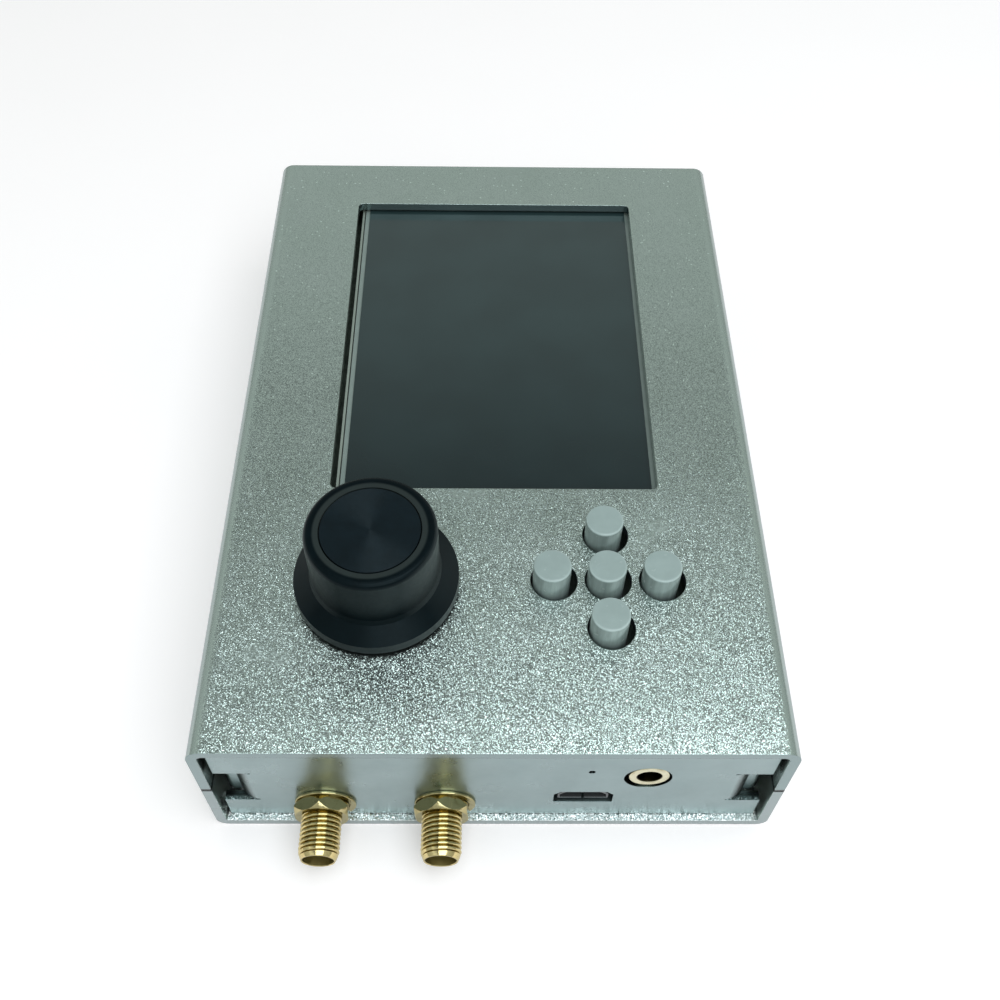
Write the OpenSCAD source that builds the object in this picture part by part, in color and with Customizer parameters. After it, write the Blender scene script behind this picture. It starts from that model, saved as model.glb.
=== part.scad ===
// Handheld software-defined radio in a two-shell aluminium case.
// Millimetres. The origin is the middle of the underside, +Z is up,
// and the end with the two clock jacks faces -Y.

/* [Case] */
// Outside width of the case
case_w = 85; // [83:0.5:95]
// Outside length of the case, without the jacks
case_l = 125; // [122:1:140]
// Outside height of the case
case_h = 27; // [26:0.5:32]
// Thickness of the shell walls
wall = 1.5; // [1.2:0.1:1.8]
// Outside radius of the two long edges on top
top_edge_r = 2.5; // [2:0.1:4]
// Outside radius of the two long edges underneath
bottom_edge_r = 1.8; // [1.6:0.1:3]
// Height of the line where the two shells meet above the middle of the case
split_rise = 0.1; // [-0.4:0.1:0.6]
// Gap between the edges of the two shells
split_gap = 0.15; // [0.05:0.05:0.25]
// Height of the lip that stands up behind the upper side wall
lip_h = 1.2; // [0.8:0.1:2]
// Thickness of the lip
lip_t = 0.7; // [0.5:0.1:1]
// Clearance between the lip and the upper side wall
lip_gap = 0.1; // [0.05:0.05:0.2]

/* [End panels] */
// Thickness of the end panels
panel_t = 1.5; // [1.2:0.1:1.8]
// Depth of the panel's face behind the edge of the shells
panel_recess = 1.1; // [0.8:0.1:1.6]
// Slot between the panel's side edge and the shell wall
panel_side_gap = 0.7; // [0.4:0.1:1]
// Clearance above and below the panel
panel_seat_gap = 0.15; // [0.05:0.05:0.3]
// Width of a side tab, which is bent back behind the panel
tab_w = 5.3; // [5.1:0.1:6]
// Depth of the side tab's face behind the panel's face
tab_step = 1.7; // [1.5:0.1:1.8]
// Outside radius of the bend between a side tab and its flange
flange_bend_r = 1.6; // [1.6:0.1:2]
// Length of the flange that the side screws hold
tab_reach = 7; // [6:0.5:9]
// Width of the saw cut above and below a side tab
tab_kerf = 0.3; // [0.2:0.05:0.4]
// Height of the cut below the tab above the main board
tab_low_gap = 0.1; // [0.1:0.1:0.4]
// Drop of the cut above the tab below the display board
tab_high_gap = 0.9; // [0.6:0.1:1.4]
// Diameter of the bosses between the side walls and the flanges
boss_d = 3.4; // [3.2:0.1:3.8]

/* [Screen] */
// Distance from a side of the case to the window in the top shell
window_side = 16.3; // [15:0.1:17]
// Length of the window in the top shell
window_l = 68.6; // [64:0.1:69]
// Radius of the window's corners
window_corner_r = 1; // [0.5:0.1:2]
// Distance from the rear edge of the case to the window
window_rear_margin = 11.5; // [11:0.1:14]
// Depth of the screen's face below the top of the case
screen_depth = 2; // [1.9:0.1:2.4]
// Sideways offset of the screen in the window
screen_shift_x = 0.7; // [0:0.1:0.8]
// Distance from a side of the window to the dark polariser
polariser_inset = 1.35; // [1:0.05:2]
// Length by which the polariser passes the window at each end
polariser_overlap = 0.5; // [0.2:0.1:1]
// Thickness of the polariser
polariser_t = 0.25; // [0.2:0.05:0.4]
// Width of the bare glass border beside the polariser
glass_border = 0.8; // [0.5:0.1:1.2]
// Length of the glass ledge that carries the ribbon
glass_ledge = 3.2; // [2.5:0.1:3.6]
// Thickness of the display glass
glass_t = 1.3; // [1:0.1:1.5]
// Gap between the glass and the rim of the backlight tray
tray_gap = 0.25; // [0.1:0.05:0.4]
// Thickness of the rim of the backlight tray
tray_rim = 0.4; // [0.3:0.05:0.6]
// Depth of the rim's edge below the face of the glass
tray_step = 0.2; // [0.1:0.1:0.6]
// Thickness of the foam tape under the tray
tape_t = 1; // [0.6:0.1:1.4]
// Width of the flat ribbon of the screen
ribbon_w = 22; // [12:1:30]
// Thickness of the ribbon
ribbon_t = 0.2; // [0.1:0.05:0.25]

/* [Buttons] */
// Diameter of a button cap
button_d = 5.7; // [5.2:0.1:6]
// Height of the caps above the case
button_proud = 4.2; // [3:0.1:6]
// Gap all round between a cap and its hole
button_gap = 0.7; // [0.55:0.05:1]
// Distance between neighbouring buttons
button_pitch = 8.2; // [7.8:0.1:9]
// Distance from the right side of the case to the middle of the button cross
buttons_side = 25.3; // [24:0.1:27]
// Distance from the window to the middle of the button cross
buttons_from_window = 17.1; // [16:0.1:19]
// Sideways shift of the caps within their holes
button_shift_x = -0.4; // [-0.4:0.1:0.4]
// Travel of a button
button_travel = 0.25; // [0.15:0.05:0.35]
// Width of a switch housing
switch_w = 6; // [5:0.1:6.4]
// Height of a switch housing
switch_h = 3.5; // [3:0.1:4]
// Diameter of a switch plunger
plunger_d = 3.4; // [2.8:0.1:3.6]
// Thickness of a switch housing's floor
switch_floor = 0.4; // [0.3:0.1:0.6]

/* [Knob] */
// Distance from the left side of the case to the knob's axis
knob_side = 25; // [24:0.1:27]
// Distance from the window to the knob's axis
knob_from_window = 17.8; // [15:0.1:19]
// Diameter of the knob's skirt
knob_skirt_d = 24.5; // [22:0.1:27]
// Height of the straight edge of the skirt
knob_skirt_edge = 1.75; // [1:0.05:2]
// Rise of the skirt's cone from its edge to the wall
knob_flare_h = 1.9; // [1.5:0.1:3]
// Diameter of the knob's wall
knob_d = 19; // [17:0.1:20]
// Height of the knob
knob_h = 13.6; // [12.8:0.1:16]
// Radius of the rounded edge round the top
knob_lip = 0.9; // [0.5:0.1:1.2]
// Diameter of the spun disc in the knob's top
knob_disc_d = 14.2; // [12:0.1:15]
// Width of the groove round the disc
knob_groove = 0.2; // [0.1:0.05:0.4]
// Thickness of the disc
knob_disc_t = 0.8; // [0.5:0.1:1]
// Gap between the skirt and the case
knob_gap = 0.8; // [0.7:0.1:1.2]
// Press travel of the knob
knob_travel = 0.5; // [0.3:0.1:0.6]
// Width of the encoder's housing
encoder_w = 12; // [11:0.1:13]
// Diameter of the encoder's threaded bushing
bushing_d = 7; // [6.8:0.1:8]
// Height of the bushing above the case
bushing_proud = 3; // [2.8:0.1:3]
// Diameter of the encoder's shaft
shaft_d = 6; // [5:0.1:6]
// Depth of the flat on the shaft
shaft_flat = 1.5; // [1:0.1:2]
// Height of the shaft's end above the case
shaft_proud = 11; // [9.5:0.1:11]
// Width of the encoder nut across its flats
bushing_nut_af = 10; // [9.5:0.1:11]
// Diameter of the grub screw in the knob
grub_d = 3; // [2:0.1:3]

/* [Boards] */
// Distance from a side of the case to both boards
board_side = 5; // [4.6:0.1:5.5]
// Thickness of both boards
board_t = 1.6; // [1.4:0.1:1.8]
// Height of the stand-offs under the main board
standoff_h = 4.1; // [3.8:0.1:4.4]
// Space between the display board and the inside of the top shell
lid_space = 5.7; // [5.4:0.1:6]
// Distance of a board's mounting holes from its side edge
board_hole_side = 4.5; // [4:0.1:5]
// Distance of a board's mounting holes from its end
board_hole_end = 10; // [9:0.1:12]
// Width of stand-offs and spacers across their flats
spacer_af = 5; // [4.6:0.1:5.5]
// Space between the battery cell and the shield can below it
battery_gap = 0.9; // [0.6:0.1:2]
// Distance from the battery cell to a board's side edge
battery_side = 14.5; // [14:0.1:17]
// Distance from each end of a board to the battery cell, on average
battery_end = 30; // [28:1:38]
// Thickness of the battery's foam pad
battery_pad_t = 0.9; // [0.6:0.1:1.1]
// Height of the shield can
shield_h = 3; // [2:0.1:3]

/* [Coaxial jacks] */
// Distance from the left side of the case to the clock input jack
clock_side = 16.8; // [15.5:0.1:18]
// Distance between the clock input jack and the clock output jack
clock_pitch = 18; // [17:0.1:19]
// Distance from the left side of the case to the aerial jack at the rear
aerial_side = 21.5; // [18:0.1:24]
// Diameter of the jack's thread
jack_thread_d = 6.2; // [6:0.05:6.4]
// Depth of the jack's thread
jack_thread_depth = 0.25; // [0.15:0.05:0.4]
// Distance from the panel's face to the jack's mouth
jack_proud = 9; // [8.5:0.1:10]
// Length of the tapered nose ahead of the thread
jack_nose = 1.9; // [1.8:0.1:2.4]
// Diameter of the jack's mouth
jack_mouth_d = 4.65; // [4.4:0.05:4.8]
// Depth of the insulator's face in the mouth
jack_mouth_depth = 1.8; // [1.4:0.1:1.8]
// Diameter of the insulator
jack_insulator_d = 4.1; // [3.8:0.1:4.2]
// Diameter of the centre contact
jack_contact_d = 1.27; // [1:0.01:1.4]
// Thickness of the jack's square flange
jack_flange_t = 1.7; // [1.4:0.1:2]
// Width of the nut across its flats
jack_nut_af = 7.94; // [7.9:0.01:8.2]
// Thickness of the nut
jack_nut_t = 2; // [1.6:0.1:2.2]
// Length of the bevel at a corner of the nut, as a share of its thickness
jack_nut_bevel = 0.44; // [0.2:0.02:0.46]
// Turn of the output jack's nut against the input jack's
jack_nut_turn = 6; // [0:1:30]
// Outside diameter of the washer
jack_washer_d = 9.3; // [9:0.1:9.8]
// Thickness of the washer
jack_washer_t = 0.5; // [0.4:0.1:0.7]
// Sideways shift of the washer on its jack
jack_washer_shift = 0.4; // [0:0.1:0.5]

/* [Sockets] */
// Distance from the right side of the case to the micro-USB socket
usb_side = 29; // [28.5:0.1:30]
// Width of the micro-USB shell
usb_w = 7.6; // [7.4:0.1:7.8]
// Height of the micro-USB shell
usb_h = 2.6; // [2.5:0.1:2.8]
// Clearance round the shell in the panel
usb_gap = 0.65; // [0.4:0.05:0.7]
// Width of the folding seam in the shell's floor
usb_seam = 0.4; // [0.2:0.05:0.5]
// Distance from the right side of the case to the headphone jack
phones_side = 19.9; // [18.5:0.1:20.5]
// Bore of the headphone jack
phones_bore_d = 3.6; // [3.5:0.05:3.7]
// Outside diameter of the headphone jack's gold nose
phones_nose_d = 6; // [5.6:0.1:6.2]
// Clearance round the nose in the panel
phones_gap = 0.5; // [0.3:0.05:0.6]
// Sideways shift of the nose in its hole
phones_shift = 0.2; // [0:0.05:0.2]
// Drop of the headphone jack's axis below the display board
phones_drop = 2.3; // [2.2:0.1:2.5]
// Diameter of the microphone hole
mic_hole_d = 1; // [0.8:0.1:1.2]
// Distance from the right side of the case to the microphone hole
mic_side = 28.4; // [27:0.1:29.5]
// Distance from the right side of the case to the memory-card socket at the rear
card_side = 22.5; // [20:0.5:26]
// Width of the memory-card slot
card_slot_w = 11.4; // [11.2:0.1:12]
// Sideways places of the reset and service buttons at the rear
rear_button_x = [-4, 5]; // [-6:1:8]
// Diameter of the rear buttons
rear_button_d = 2.4; // [2:0.1:2.6]
// Travel of the rear buttons
rear_button_travel = 0.25; // [0.15:0.05:0.35]
// Distance from the right side of the case to the first indicator light at the rear
light_side = 15.5; // [14:0.5:18]
// Number of indicator lights at the rear
light_count = 4; // [2:1:5]
// Diameter of a light pipe
light_d = 1.8; // [1.4:0.1:2]
// Distance between light pipes
light_pitch = 3.6; // [3:0.1:4]

/* [Screws] */
// Diameter of the side screws
side_screw_d = 2; // [1.6:0.1:2]
// Head diameter of the side screws
side_head_d = 3.8; // [3.4:0.1:4]
// Distance from a side screw's head to the line where the two shells meet
side_head_margin = 0.15; // [0.1:0.05:0.3]
// Diameter of the board screws and studs
board_screw_d = 3; // [2.5:0.1:3]
// Head diameter of the board screws
board_head_d = 5.4; // [5:0.1:5.6]

/* [Hidden] */
$fn = 64;

// Overlap that lets cuts pass through a face
cut = 1;
// Radial clearance of running and screwed fits
fit = 0.05;
// Space left below a plunger at the end of its travel
end_gap = 0.15;
// Space between pieces that pass each other without touching
space = 0.3;

// Faces of the case
half_w = case_w / 2;
half_l = case_l / 2;
inner_x = half_w - wall;
lid_z = case_h - wall;
split_z = case_h / 2 + split_rise;

// Board levels
main_z = wall + standoff_h;
main_top = main_z + board_t;
display_top = lid_z - lid_space;
display_z = display_top - board_t;

// End panel levels; the front panel lies at -panel_face_y
panel_face_y = half_l - panel_recess;
panel_back_y = panel_face_y - panel_t;
panel_half_w = inner_x - panel_side_gap;
tab_low_z = main_top + tab_low_gap;
tab_high_z = display_z - tab_high_gap;

// A side tab steps back behind the panel and ends in a flange along the side wall
tab_bend_r = tab_step + panel_t;
tab_bend_x = panel_half_w - tab_w;
flange_bend_x = panel_half_w - flange_bend_r;
tab_face_y = panel_face_y - tab_step;
flange_y = tab_face_y - flange_bend_r;
boss_len = panel_side_gap;

// Boards reach to the flanges of the jacks
board_end_gap = 0.2;
board_half_l = panel_back_y - jack_flange_t - board_end_gap;
board_half_w = half_w - board_side;
hole_x = board_half_w - board_hole_side;
hole_y = board_half_l - board_hole_end;
board_hole_d = board_screw_d + 4 * fit;

// Battery cell between the shield can and the display board
battery_t = display_z - battery_pad_t - main_top - shield_h - battery_gap;
battery_w = 2 * (board_half_w - battery_side);
battery_l = 2 * (board_half_l - battery_end);
battery_y = board_half_l / 10;

// Side screws stand close above and below the line where the shells meet
side_screw_y = flange_y - tab_reach / 2;
side_screw_rise = side_head_d / 2 + side_head_margin;
side_screw_top_z = split_z + side_screw_rise;
side_screw_low_z = split_z - side_screw_rise;
side_head_t = (side_head_d - side_screw_d) / 2;

// Screen levels, from its face down to the display board
screen_z = case_h - screen_depth;
glass_z = screen_z - polariser_t - glass_t;
tray_z = display_top + tape_t;
window_w = case_w - 2 * window_side;
window_y = half_l - window_rear_margin - window_l / 2;
window_front_y = window_y - window_l / 2;
polariser_w = window_w - 2 * polariser_inset;
polariser_l = window_l + 2 * polariser_overlap;
glass_w = polariser_w + 2 * glass_border;
glass_front_y = window_y - polariser_l / 2 - glass_border;
glass_rear_y = window_y + polariser_l / 2 + glass_ledge;
tray_w = glass_w + 2 * (tray_gap + tray_rim);
tray_front_y = glass_front_y - tray_gap - tray_rim;
tray_rear_y = glass_rear_y + tray_gap + tray_rim;
ribbon_y = tray_rear_y + tray_gap;

// Buttons: caps stand on plungers that slide in the switch housings
buttons_x = half_w - buttons_side;
buttons_y = window_front_y - buttons_from_window;
caps_x = buttons_x + button_shift_x;
switch_top = display_top + switch_h;
plunger_gap = button_travel + end_gap;
cap_z = switch_top + plunger_gap;
cap_top = case_h + button_proud;
cap_edge = 0.35;
stem_d = plunger_d * 0.7;
stem_h = 3.4;
DIR_UP = [0, 1];
DIR_DOWN = [0, -1];
DIR_LEFT = [-1, 0];
DIR_RIGHT = [1, 0];
DIR_CENTRE = [0, 0];
DIRECTIONS = [DIR_UP, DIR_DOWN, DIR_LEFT, DIR_RIGHT, DIR_CENTRE];

// Knob and encoder levels
knob_x = knob_side - half_w;
knob_y = window_front_y - knob_from_window;
knob_z = case_h + knob_gap;
knob_top = knob_z + knob_h;
encoder_top = lid_z - space;
encoder_floor = display_top + 2 * space;
bushing_top = case_h + bushing_proud;
bushing_hole_d = bushing_d + 0.5;
rotor_d = encoder_w - 3.2;
rotor_t = 1.6;
rotor_top = encoder_top - 0.8;
encoder_plunger_d = 3;
nut_t = 2;
nut_washer_t = 0.5;
nut_washer_d = bushing_nut_af + 1.4;
shaft_top = case_h + shaft_proud;
shaft_flat_z = bushing_top + knob_travel + space;
knob_recess_d = nut_washer_d + 1.6;
knob_recess_top = bushing_top + knob_travel + 2 * space;
knob_bore_top = shaft_top + space;
knob_fillet = [0.25, 0.9];
grub_z = knob_recess_top + grub_d / 2 + 0.9;

// Coaxial jacks lie in the middle plane of the main board
clock_in_x = clock_side - half_w;
clock_out_x = clock_in_x + clock_pitch;
aerial_x = aerial_side - half_w;
jack_z = main_z + board_t / 2;
jack_len = panel_t + jack_proud;
jack_relief = 0.1;
jack_tip_wall = 0.28;
jack_flange = [8, 6.4];
jack_root_d = jack_thread_d - 2 * jack_thread_depth;
jack_hole_d = jack_thread_d + space;
jack_washer_bore = jack_thread_d + 3 * space;
jack_nut_front = panel_t + jack_washer_t + jack_nut_t;
jack_prong = [1.1, 1, 4];
jack_prong_x = 2.6;

// Other sockets
usb_x = half_w - usb_side;
phones_x = half_w - phones_side;
mic_x = half_w - mic_side;
card_x = half_w - card_side;
usb_front_y = -panel_face_y + 0.4;
usb_len = 5.6;
usb_chamfer = 1;
usb_wall = 0.3;
phones_z = display_z - phones_drop;
phones_front_y = -panel_face_y + 0.15;
phones_body_y = -board_half_l - 0.5;
phones_len = 12;
phones_body_w = 6.6;
phones_tube_d = phones_bore_d + 0.8;
mic_z = display_z - mic_hole_d * 0.15;
mic_size = [3, 2.6, 1.1];
card_size = [14, 15, 1.7];
card_z = display_z - card_size[2] / 2;
card_slot_h = 0.9;
card_gap = 0.6;
rear_button_z = main_top + 2;
rear_switch = [6, 3.6, 4];
rear_switch_floor = 1;
rear_switch_y = board_half_l - rear_switch[1] - 0.2;
light_z = main_top + light_d / 2 + 0.15;
light_x = half_w - light_side;
lamp = [1.6, 1.1, 1.5];

aluminium = [0.62, 0.68, 0.66];
satin = [0.66, 0.71, 0.71];
gold = [0.78, 0.66, 0.38];
knob_black = [0.11, 0.12, 0.14];
cap_grey = [0.65, 0.70, 0.69];
board_green = [0.05, 0.25, 0.16];
black = [0.08, 0.08, 0.09];
steel = [0.6, 0.6, 0.62];
white = [0.9, 0.9, 0.88];

// Rectangle with round corners, centred
module rounded_rect(w, l, r) {
    square([w - 2 * r, l], center = true);
    square([w, l - 2 * r], center = true);
    for (sx = [-1, 1], sy = [-1, 1])
        translate([sx * (w / 2 - r), sy * (l / 2 - r)]) circle(r);
}

// Block from a low corner to a high corner
module block(low, high) {
    translate(low) cube(high - low);
}

// Cylinder along Y from y0 to y1
module y_rod(x, z, y0, y1, d) {
    translate([x, y0, z]) rotate([-90, 0, 0]) cylinder(h = y1 - y0, d = d);
}

// Children at each corner of the board's hole pattern
module at_board_holes() {
    for (sx = [-1, 1], sy = [-1, 1]) translate([sx * hole_x, sy * hole_y, 0]) children();
}

// Children at each side screw, with +Z out of the case wall
module at_side_screws(z) {
    for (sx = [-1, 1], sy = [-1, 1])
        translate([sx * half_w, sy * side_screw_y, z]) rotate([0, sx * 90, 0]) children();
}

// Cross-section of the case, drawn in X and Z, moved in by inset
module case_section(inset) {
    w = half_w - inset;
    r_top = max(top_edge_r - inset, 0.3);
    r_low = max(bottom_edge_r - inset, 0.3);
    r_big = max(r_top, r_low);
    low = inset;
    high = case_h - inset;
    translate([r_big - w, low]) square([2 * (w - r_big), high - low]);
    translate([-w, low + r_low]) square([2 * w, high - low - r_low - r_top]);
    for (s = [-1, 1]) {
        translate([s * (w - r_top), high - r_top]) circle(r_top);
        translate([s * (w - r_low), low + r_low]) circle(r_low);
    }
    translate([r_low - w, low]) square([2 * (w - r_low), r_low]);
    translate([r_top - w, high - r_top]) square([2 * (w - r_top), r_top]);
}

// Wall of the case between two heights, along its whole length
module case_wall(z0, z1) {
    rotate([90, 0, 0]) linear_extrude(case_l, center = true) intersection() {
        difference() {
            case_section(0);
            case_section(wall);
        }
        translate([-case_w, z0]) square([2 * case_w, z1 - z0]);
    }
}

// Boss inside the side wall, and its countersunk screw hole
module side_boss() {
    translate([0, 0, -wall - boss_len]) cylinder(h = boss_len + wall / 2, d = boss_d);
}
module side_hole() {
    depth = wall + boss_len + cut;
    translate([0, 0, -depth]) cylinder(h = depth + cut, d = side_screw_d + 4 * fit);
    side_head(fit, cut);
}

// Countersunk head below the wall's face, grown by a clearance
module side_head(grow, above) {
    d = side_head_d + 2 * grow;
    translate([0, 0, -side_head_t - grow]) cylinder(h = side_head_t + grow, d1 = side_screw_d, d2 = d);
    if (above > 0) cylinder(h = above, d = d);
}

module top_shell() {
    color(aluminium) difference() {
        union() {
            case_wall(split_z + split_gap, case_h);
            at_side_screws(side_screw_top_z) side_boss();
        }
        at_side_screws(side_screw_top_z) side_hole();
        translate([0, window_y, lid_z - cut]) linear_extrude(wall + 2 * cut)
            rounded_rect(window_w, window_l, window_corner_r);
        for (d = DIRECTIONS)
            translate([buttons_x + d[0] * button_pitch, buttons_y + d[1] * button_pitch, lid_z - cut])
                cylinder(h = wall + 2 * cut, d = button_d + 2 * button_gap);
        translate([knob_x, knob_y, lid_z - cut]) cylinder(h = wall + 2 * cut, d = bushing_hole_d);
    }
}

module bottom_shell() {
    lip_x = inner_x - lip_gap;
    lip_y = flange_y - tab_reach - 2 * panel_t;
    root_z = split_z - 2 * lip_h;
    color(aluminium) difference() {
        union() {
            case_wall(0, split_z);
            at_side_screws(side_screw_low_z) side_boss();
            for (s = [0, 1]) mirror([s, 0, 0]) {
                block([lip_x - lip_t, -lip_y, root_z], [lip_x, lip_y, split_z + lip_h]);
                block([lip_x - lip_t, -lip_y, root_z], [inner_x + lip_gap, lip_y, split_z]);
            }
        }
        at_side_screws(side_screw_low_z) side_hole();
        at_board_holes() bottom_countersink();
    }
}

// Countersink for a board screw in the underside
module bottom_countersink() {
    translate([0, 0, -cut]) cylinder(h = wall + 2 * cut, d = board_hole_d);
    translate([0, 0, -cut]) cylinder(h = cut + fit, d = board_head_d + 2 * fit);
    translate([0, 0, fit]) cylinder(h = wall - 0.2, d1 = board_head_d + 2 * fit, d2 = board_hole_d);
}

// End panel at the front, with its two stepped tabs, before its sockets are cut
module panel_blank() {
    low = wall + panel_seat_gap;
    high = lid_z - panel_seat_gap;
    difference() {
        block([-panel_half_w, -panel_face_y, low], [panel_half_w, -panel_back_y, high]);
        for (s = [-1, 1])
            translate([s * (tab_bend_x + half_w / 2), -panel_face_y, (tab_low_z + tab_high_z) / 2])
                cube([half_w, 4 * panel_t, tab_high_z - tab_low_z], center = true);
    }
    for (s = [0, 1]) mirror([s, 0, 0]) panel_tab();
}

// Quarter bend of the panel's sheet about an upright axis
module sheet_bend(x, y, r, h) {
    translate([x, y, 0]) rotate([0, 0, -90])
        rotate_extrude(angle = 90) translate([r - panel_t, 0]) square([panel_t, h]);
}

// Tab on the +X side: a step behind the panel, a flat face and a flange with two screw holes
module panel_tab() {
    low = tab_low_z + tab_kerf;
    h = tab_high_z - tab_low_z - 2 * tab_kerf;
    face_x = tab_bend_x + tab_bend_r - panel_t / 2;
    difference() {
        translate([0, 0, low]) {
            translate([tab_bend_x - panel_t, -panel_face_y, 0]) cube([panel_t, panel_t, h]);
            sheet_bend(tab_bend_x, tab_bend_r - panel_face_y, tab_bend_r, h);
            translate([face_x, -tab_face_y, 0]) cube([flange_bend_x - face_x, panel_t, h]);
            sheet_bend(flange_bend_x, -flange_y, flange_bend_r, h);
            translate([panel_half_w - panel_t, -flange_y, 0]) cube([panel_t, tab_reach, h]);
        }
        for (z = [side_screw_low_z, side_screw_top_z])
            translate([panel_half_w - 2 * panel_t, -side_screw_y, z]) rotate([0, 90, 0])
                cylinder(h = 4 * panel_t, d = side_screw_d + 2 * fit);
    }
}

// Outline of the micro-USB shell in X and Z, grown by a clearance
module usb_outline(grow) {
    w = usb_w / 2 + grow;
    h = usb_h / 2 + grow;
    translate([usb_x, main_top + usb_h / 2]) polygon([[-w, -h], [w, -h], [w, h - usb_chamfer],
        [w - usb_chamfer, h], [usb_chamfer - w, h], [-w, h - usb_chamfer]]);
}

module front_panel() {
    through = [-panel_face_y - cut, -panel_back_y + cut];
    color(satin) difference() {
        panel_blank();
        for (x = [clock_in_x, clock_out_x]) y_rod(x, jack_z, through[0], through[1], jack_hole_d);
        y_rod(phones_x - phones_shift, phones_z, through[0], through[1], phones_nose_d + 2 * phones_gap);
        y_rod(mic_x, mic_z, through[0], through[1], mic_hole_d);
        translate([0, through[1], 0]) rotate([90, 0, 0])
            linear_extrude(through[1] - through[0]) usb_outline(usb_gap);
    }
}

module rear_panel() {
    through = [panel_back_y - cut, panel_face_y + cut];
    color(satin) difference() {
        rotate([0, 0, 180]) panel_blank();
        y_rod(aerial_x, jack_z, through[0], through[1], jack_hole_d);
        for (x = rear_button_x) y_rod(x, rear_button_z, through[0], through[1], rear_button_d + 0.6);
        for (i = [0:light_count - 1])
            y_rod(light_x - i * light_pitch, light_z, through[0], through[1], light_d + 2 * fit);
        translate([card_x, panel_face_y, card_z])
            cube([card_slot_w + 2 * card_gap, 4 * panel_t, card_slot_h + 2 * card_gap], center = true);
    }
}

// One side screw: countersunk head with a cross slot, shank through boss and tab
module side_screw() {
    shank = wall + boss_len + panel_t + 0.5;
    slot = [side_head_d * 0.55, 0.5, 0.8];
    difference() {
        union() {
            side_head(0, 0);
            translate([0, 0, -shank]) cylinder(h = shank - side_head_t / 2, d = side_screw_d);
        }
        for (a = [0, 90]) rotate([0, 0, a]) cube(slot, center = true);
    }
}

module side_screws() {
    color(steel) {
        at_side_screws(side_screw_top_z) side_screw();
        at_side_screws(side_screw_low_z) side_screw();
    }
}

module bottom_screws() {
    head_t = wall - 0.3;
    shank_top = wall + standoff_h / 2 - 0.2;
    slot = [board_head_d * 0.5, 0.7, 1.2];
    color(steel) at_board_holes() difference() {
        union() {
            translate([0, 0, fit]) cylinder(h = head_t, d1 = board_head_d, d2 = board_screw_d);
            translate([0, 0, head_t / 2]) cylinder(h = shank_top - head_t / 2, d = board_screw_d);
        }
        for (a = [0, 90]) rotate([0, 0, a]) cube(slot, center = true);
    }
}

// Board with its four mounting holes
module board(z) {
    color(board_green) difference() {
        translate([0, 0, z]) linear_extrude(board_t) rounded_rect(2 * board_half_w, 2 * board_half_l, 2);
        at_board_holes() translate([0, 0, z - cut]) cylinder(h = board_t + 2 * cut, d = board_hole_d);
    }
}
module main_board() board(main_z);
module display_board() board(display_z);

// Hexagonal post with the given width across its flats
module hex_post(af, h) {
    cylinder(h = h, d = af / cos(30), $fn = 6);
}

module board_standoffs() {
    color(gold) at_board_holes() difference() {
        translate([0, 0, wall]) hex_post(spacer_af, standoff_h);
        translate([0, 0, wall - cut]) cylinder(h = standoff_h + 2 * cut, d = board_screw_d + 2 * fit);
    }
}

module board_spacers() {
    stud = board_t + standoff_h / 2 - 0.2;
    socket = (display_z - main_top) / 2;
    color(gold) at_board_holes() difference() {
        union() {
            translate([0, 0, main_top]) hex_post(spacer_af, display_z - main_top);
            translate([0, 0, main_top - stud]) cylinder(h = stud + 0.5, d = board_screw_d);
        }
        translate([0, 0, display_z - socket]) cylinder(h = socket + cut, d = board_screw_d + 2 * fit);
    }
}

module board_screws() {
    head_t = 1.7;
    shank = board_t + (display_z - main_top) / 2 - 1;
    slot = [board_head_d * 0.55, 0.7, 1.6];
    color(steel) at_board_holes() difference() {
        union() {
            translate([0, 0, display_top]) cylinder(h = head_t, d = board_head_d);
            translate([0, 0, display_top - shank]) cylinder(h = shank + 0.5, d = board_screw_d);
        }
        for (a = [0, 90]) translate([0, 0, display_top + head_t]) rotate([0, 0, a]) cube(slot, center = true);
    }
}

// Header blocks that join the two boards, along both sides of the battery:
// side, then length and place as shares of half the board's length
module board_headers() {
    header_w = 5;
    header_gap = 2;
    header_x = battery_w / 2 + header_gap + header_w / 2;
    headers = [[-1, 0.48, 0.07], [1, 0.62, 0], [1, 0.2, -0.55]];
    color(black) for (h = headers)
        translate([h[0] * header_x, h[2] * board_half_l, (main_top + display_z) / 2])
            cube([header_w, h[1] * board_half_l, display_z - main_top], center = true);
}

module shield_can() {
    can = [board_half_w, board_half_l / 2];
    skin = 0.3;
    color(steel) translate([0, battery_y, main_top]) difference() {
        linear_extrude(shield_h) rounded_rect(can[0], can[1], 1);
        translate([0, 0, -cut]) linear_extrude(shield_h - skin + cut)
            rounded_rect(can[0] - 2 * skin, can[1] - 2 * skin, 0.7);
    }
}

// Integrated circuits on the main board: place as shares of the board's half sizes,
// width and length as shares of its half width, height as a share of its thickness
module main_board_chips() {
    chips = [[-0.32, -0.52, 0.37, 0.37, 0.9], [0.21, -0.55, 0.27, 0.27, 0.75], [-0.69, -0.59, 0.16, 0.21, 0.75],
        [0.48, -0.34, 0.19, 0.19, 0.6], [-0.37, 0.62, 0.21, 0.21, 0.6], [0.32, 0.62, 0.27, 0.16, 0.6],
        [0.64, 0.69, 0.13, 0.11, 0.6]];
    color(black) for (c = chips)
        translate([c[0] * board_half_w, c[1] * board_half_l, main_top + c[4] * board_t / 2])
            cube([c[2] * board_half_w, c[3] * board_half_w, c[4] * board_t], center = true);
}

module battery() {
    color([0.75, 0.76, 0.78]) translate([0, battery_y, display_z - battery_pad_t - battery_t])
        linear_extrude(battery_t) rounded_rect(battery_w, battery_l, 2.5);
}

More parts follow.
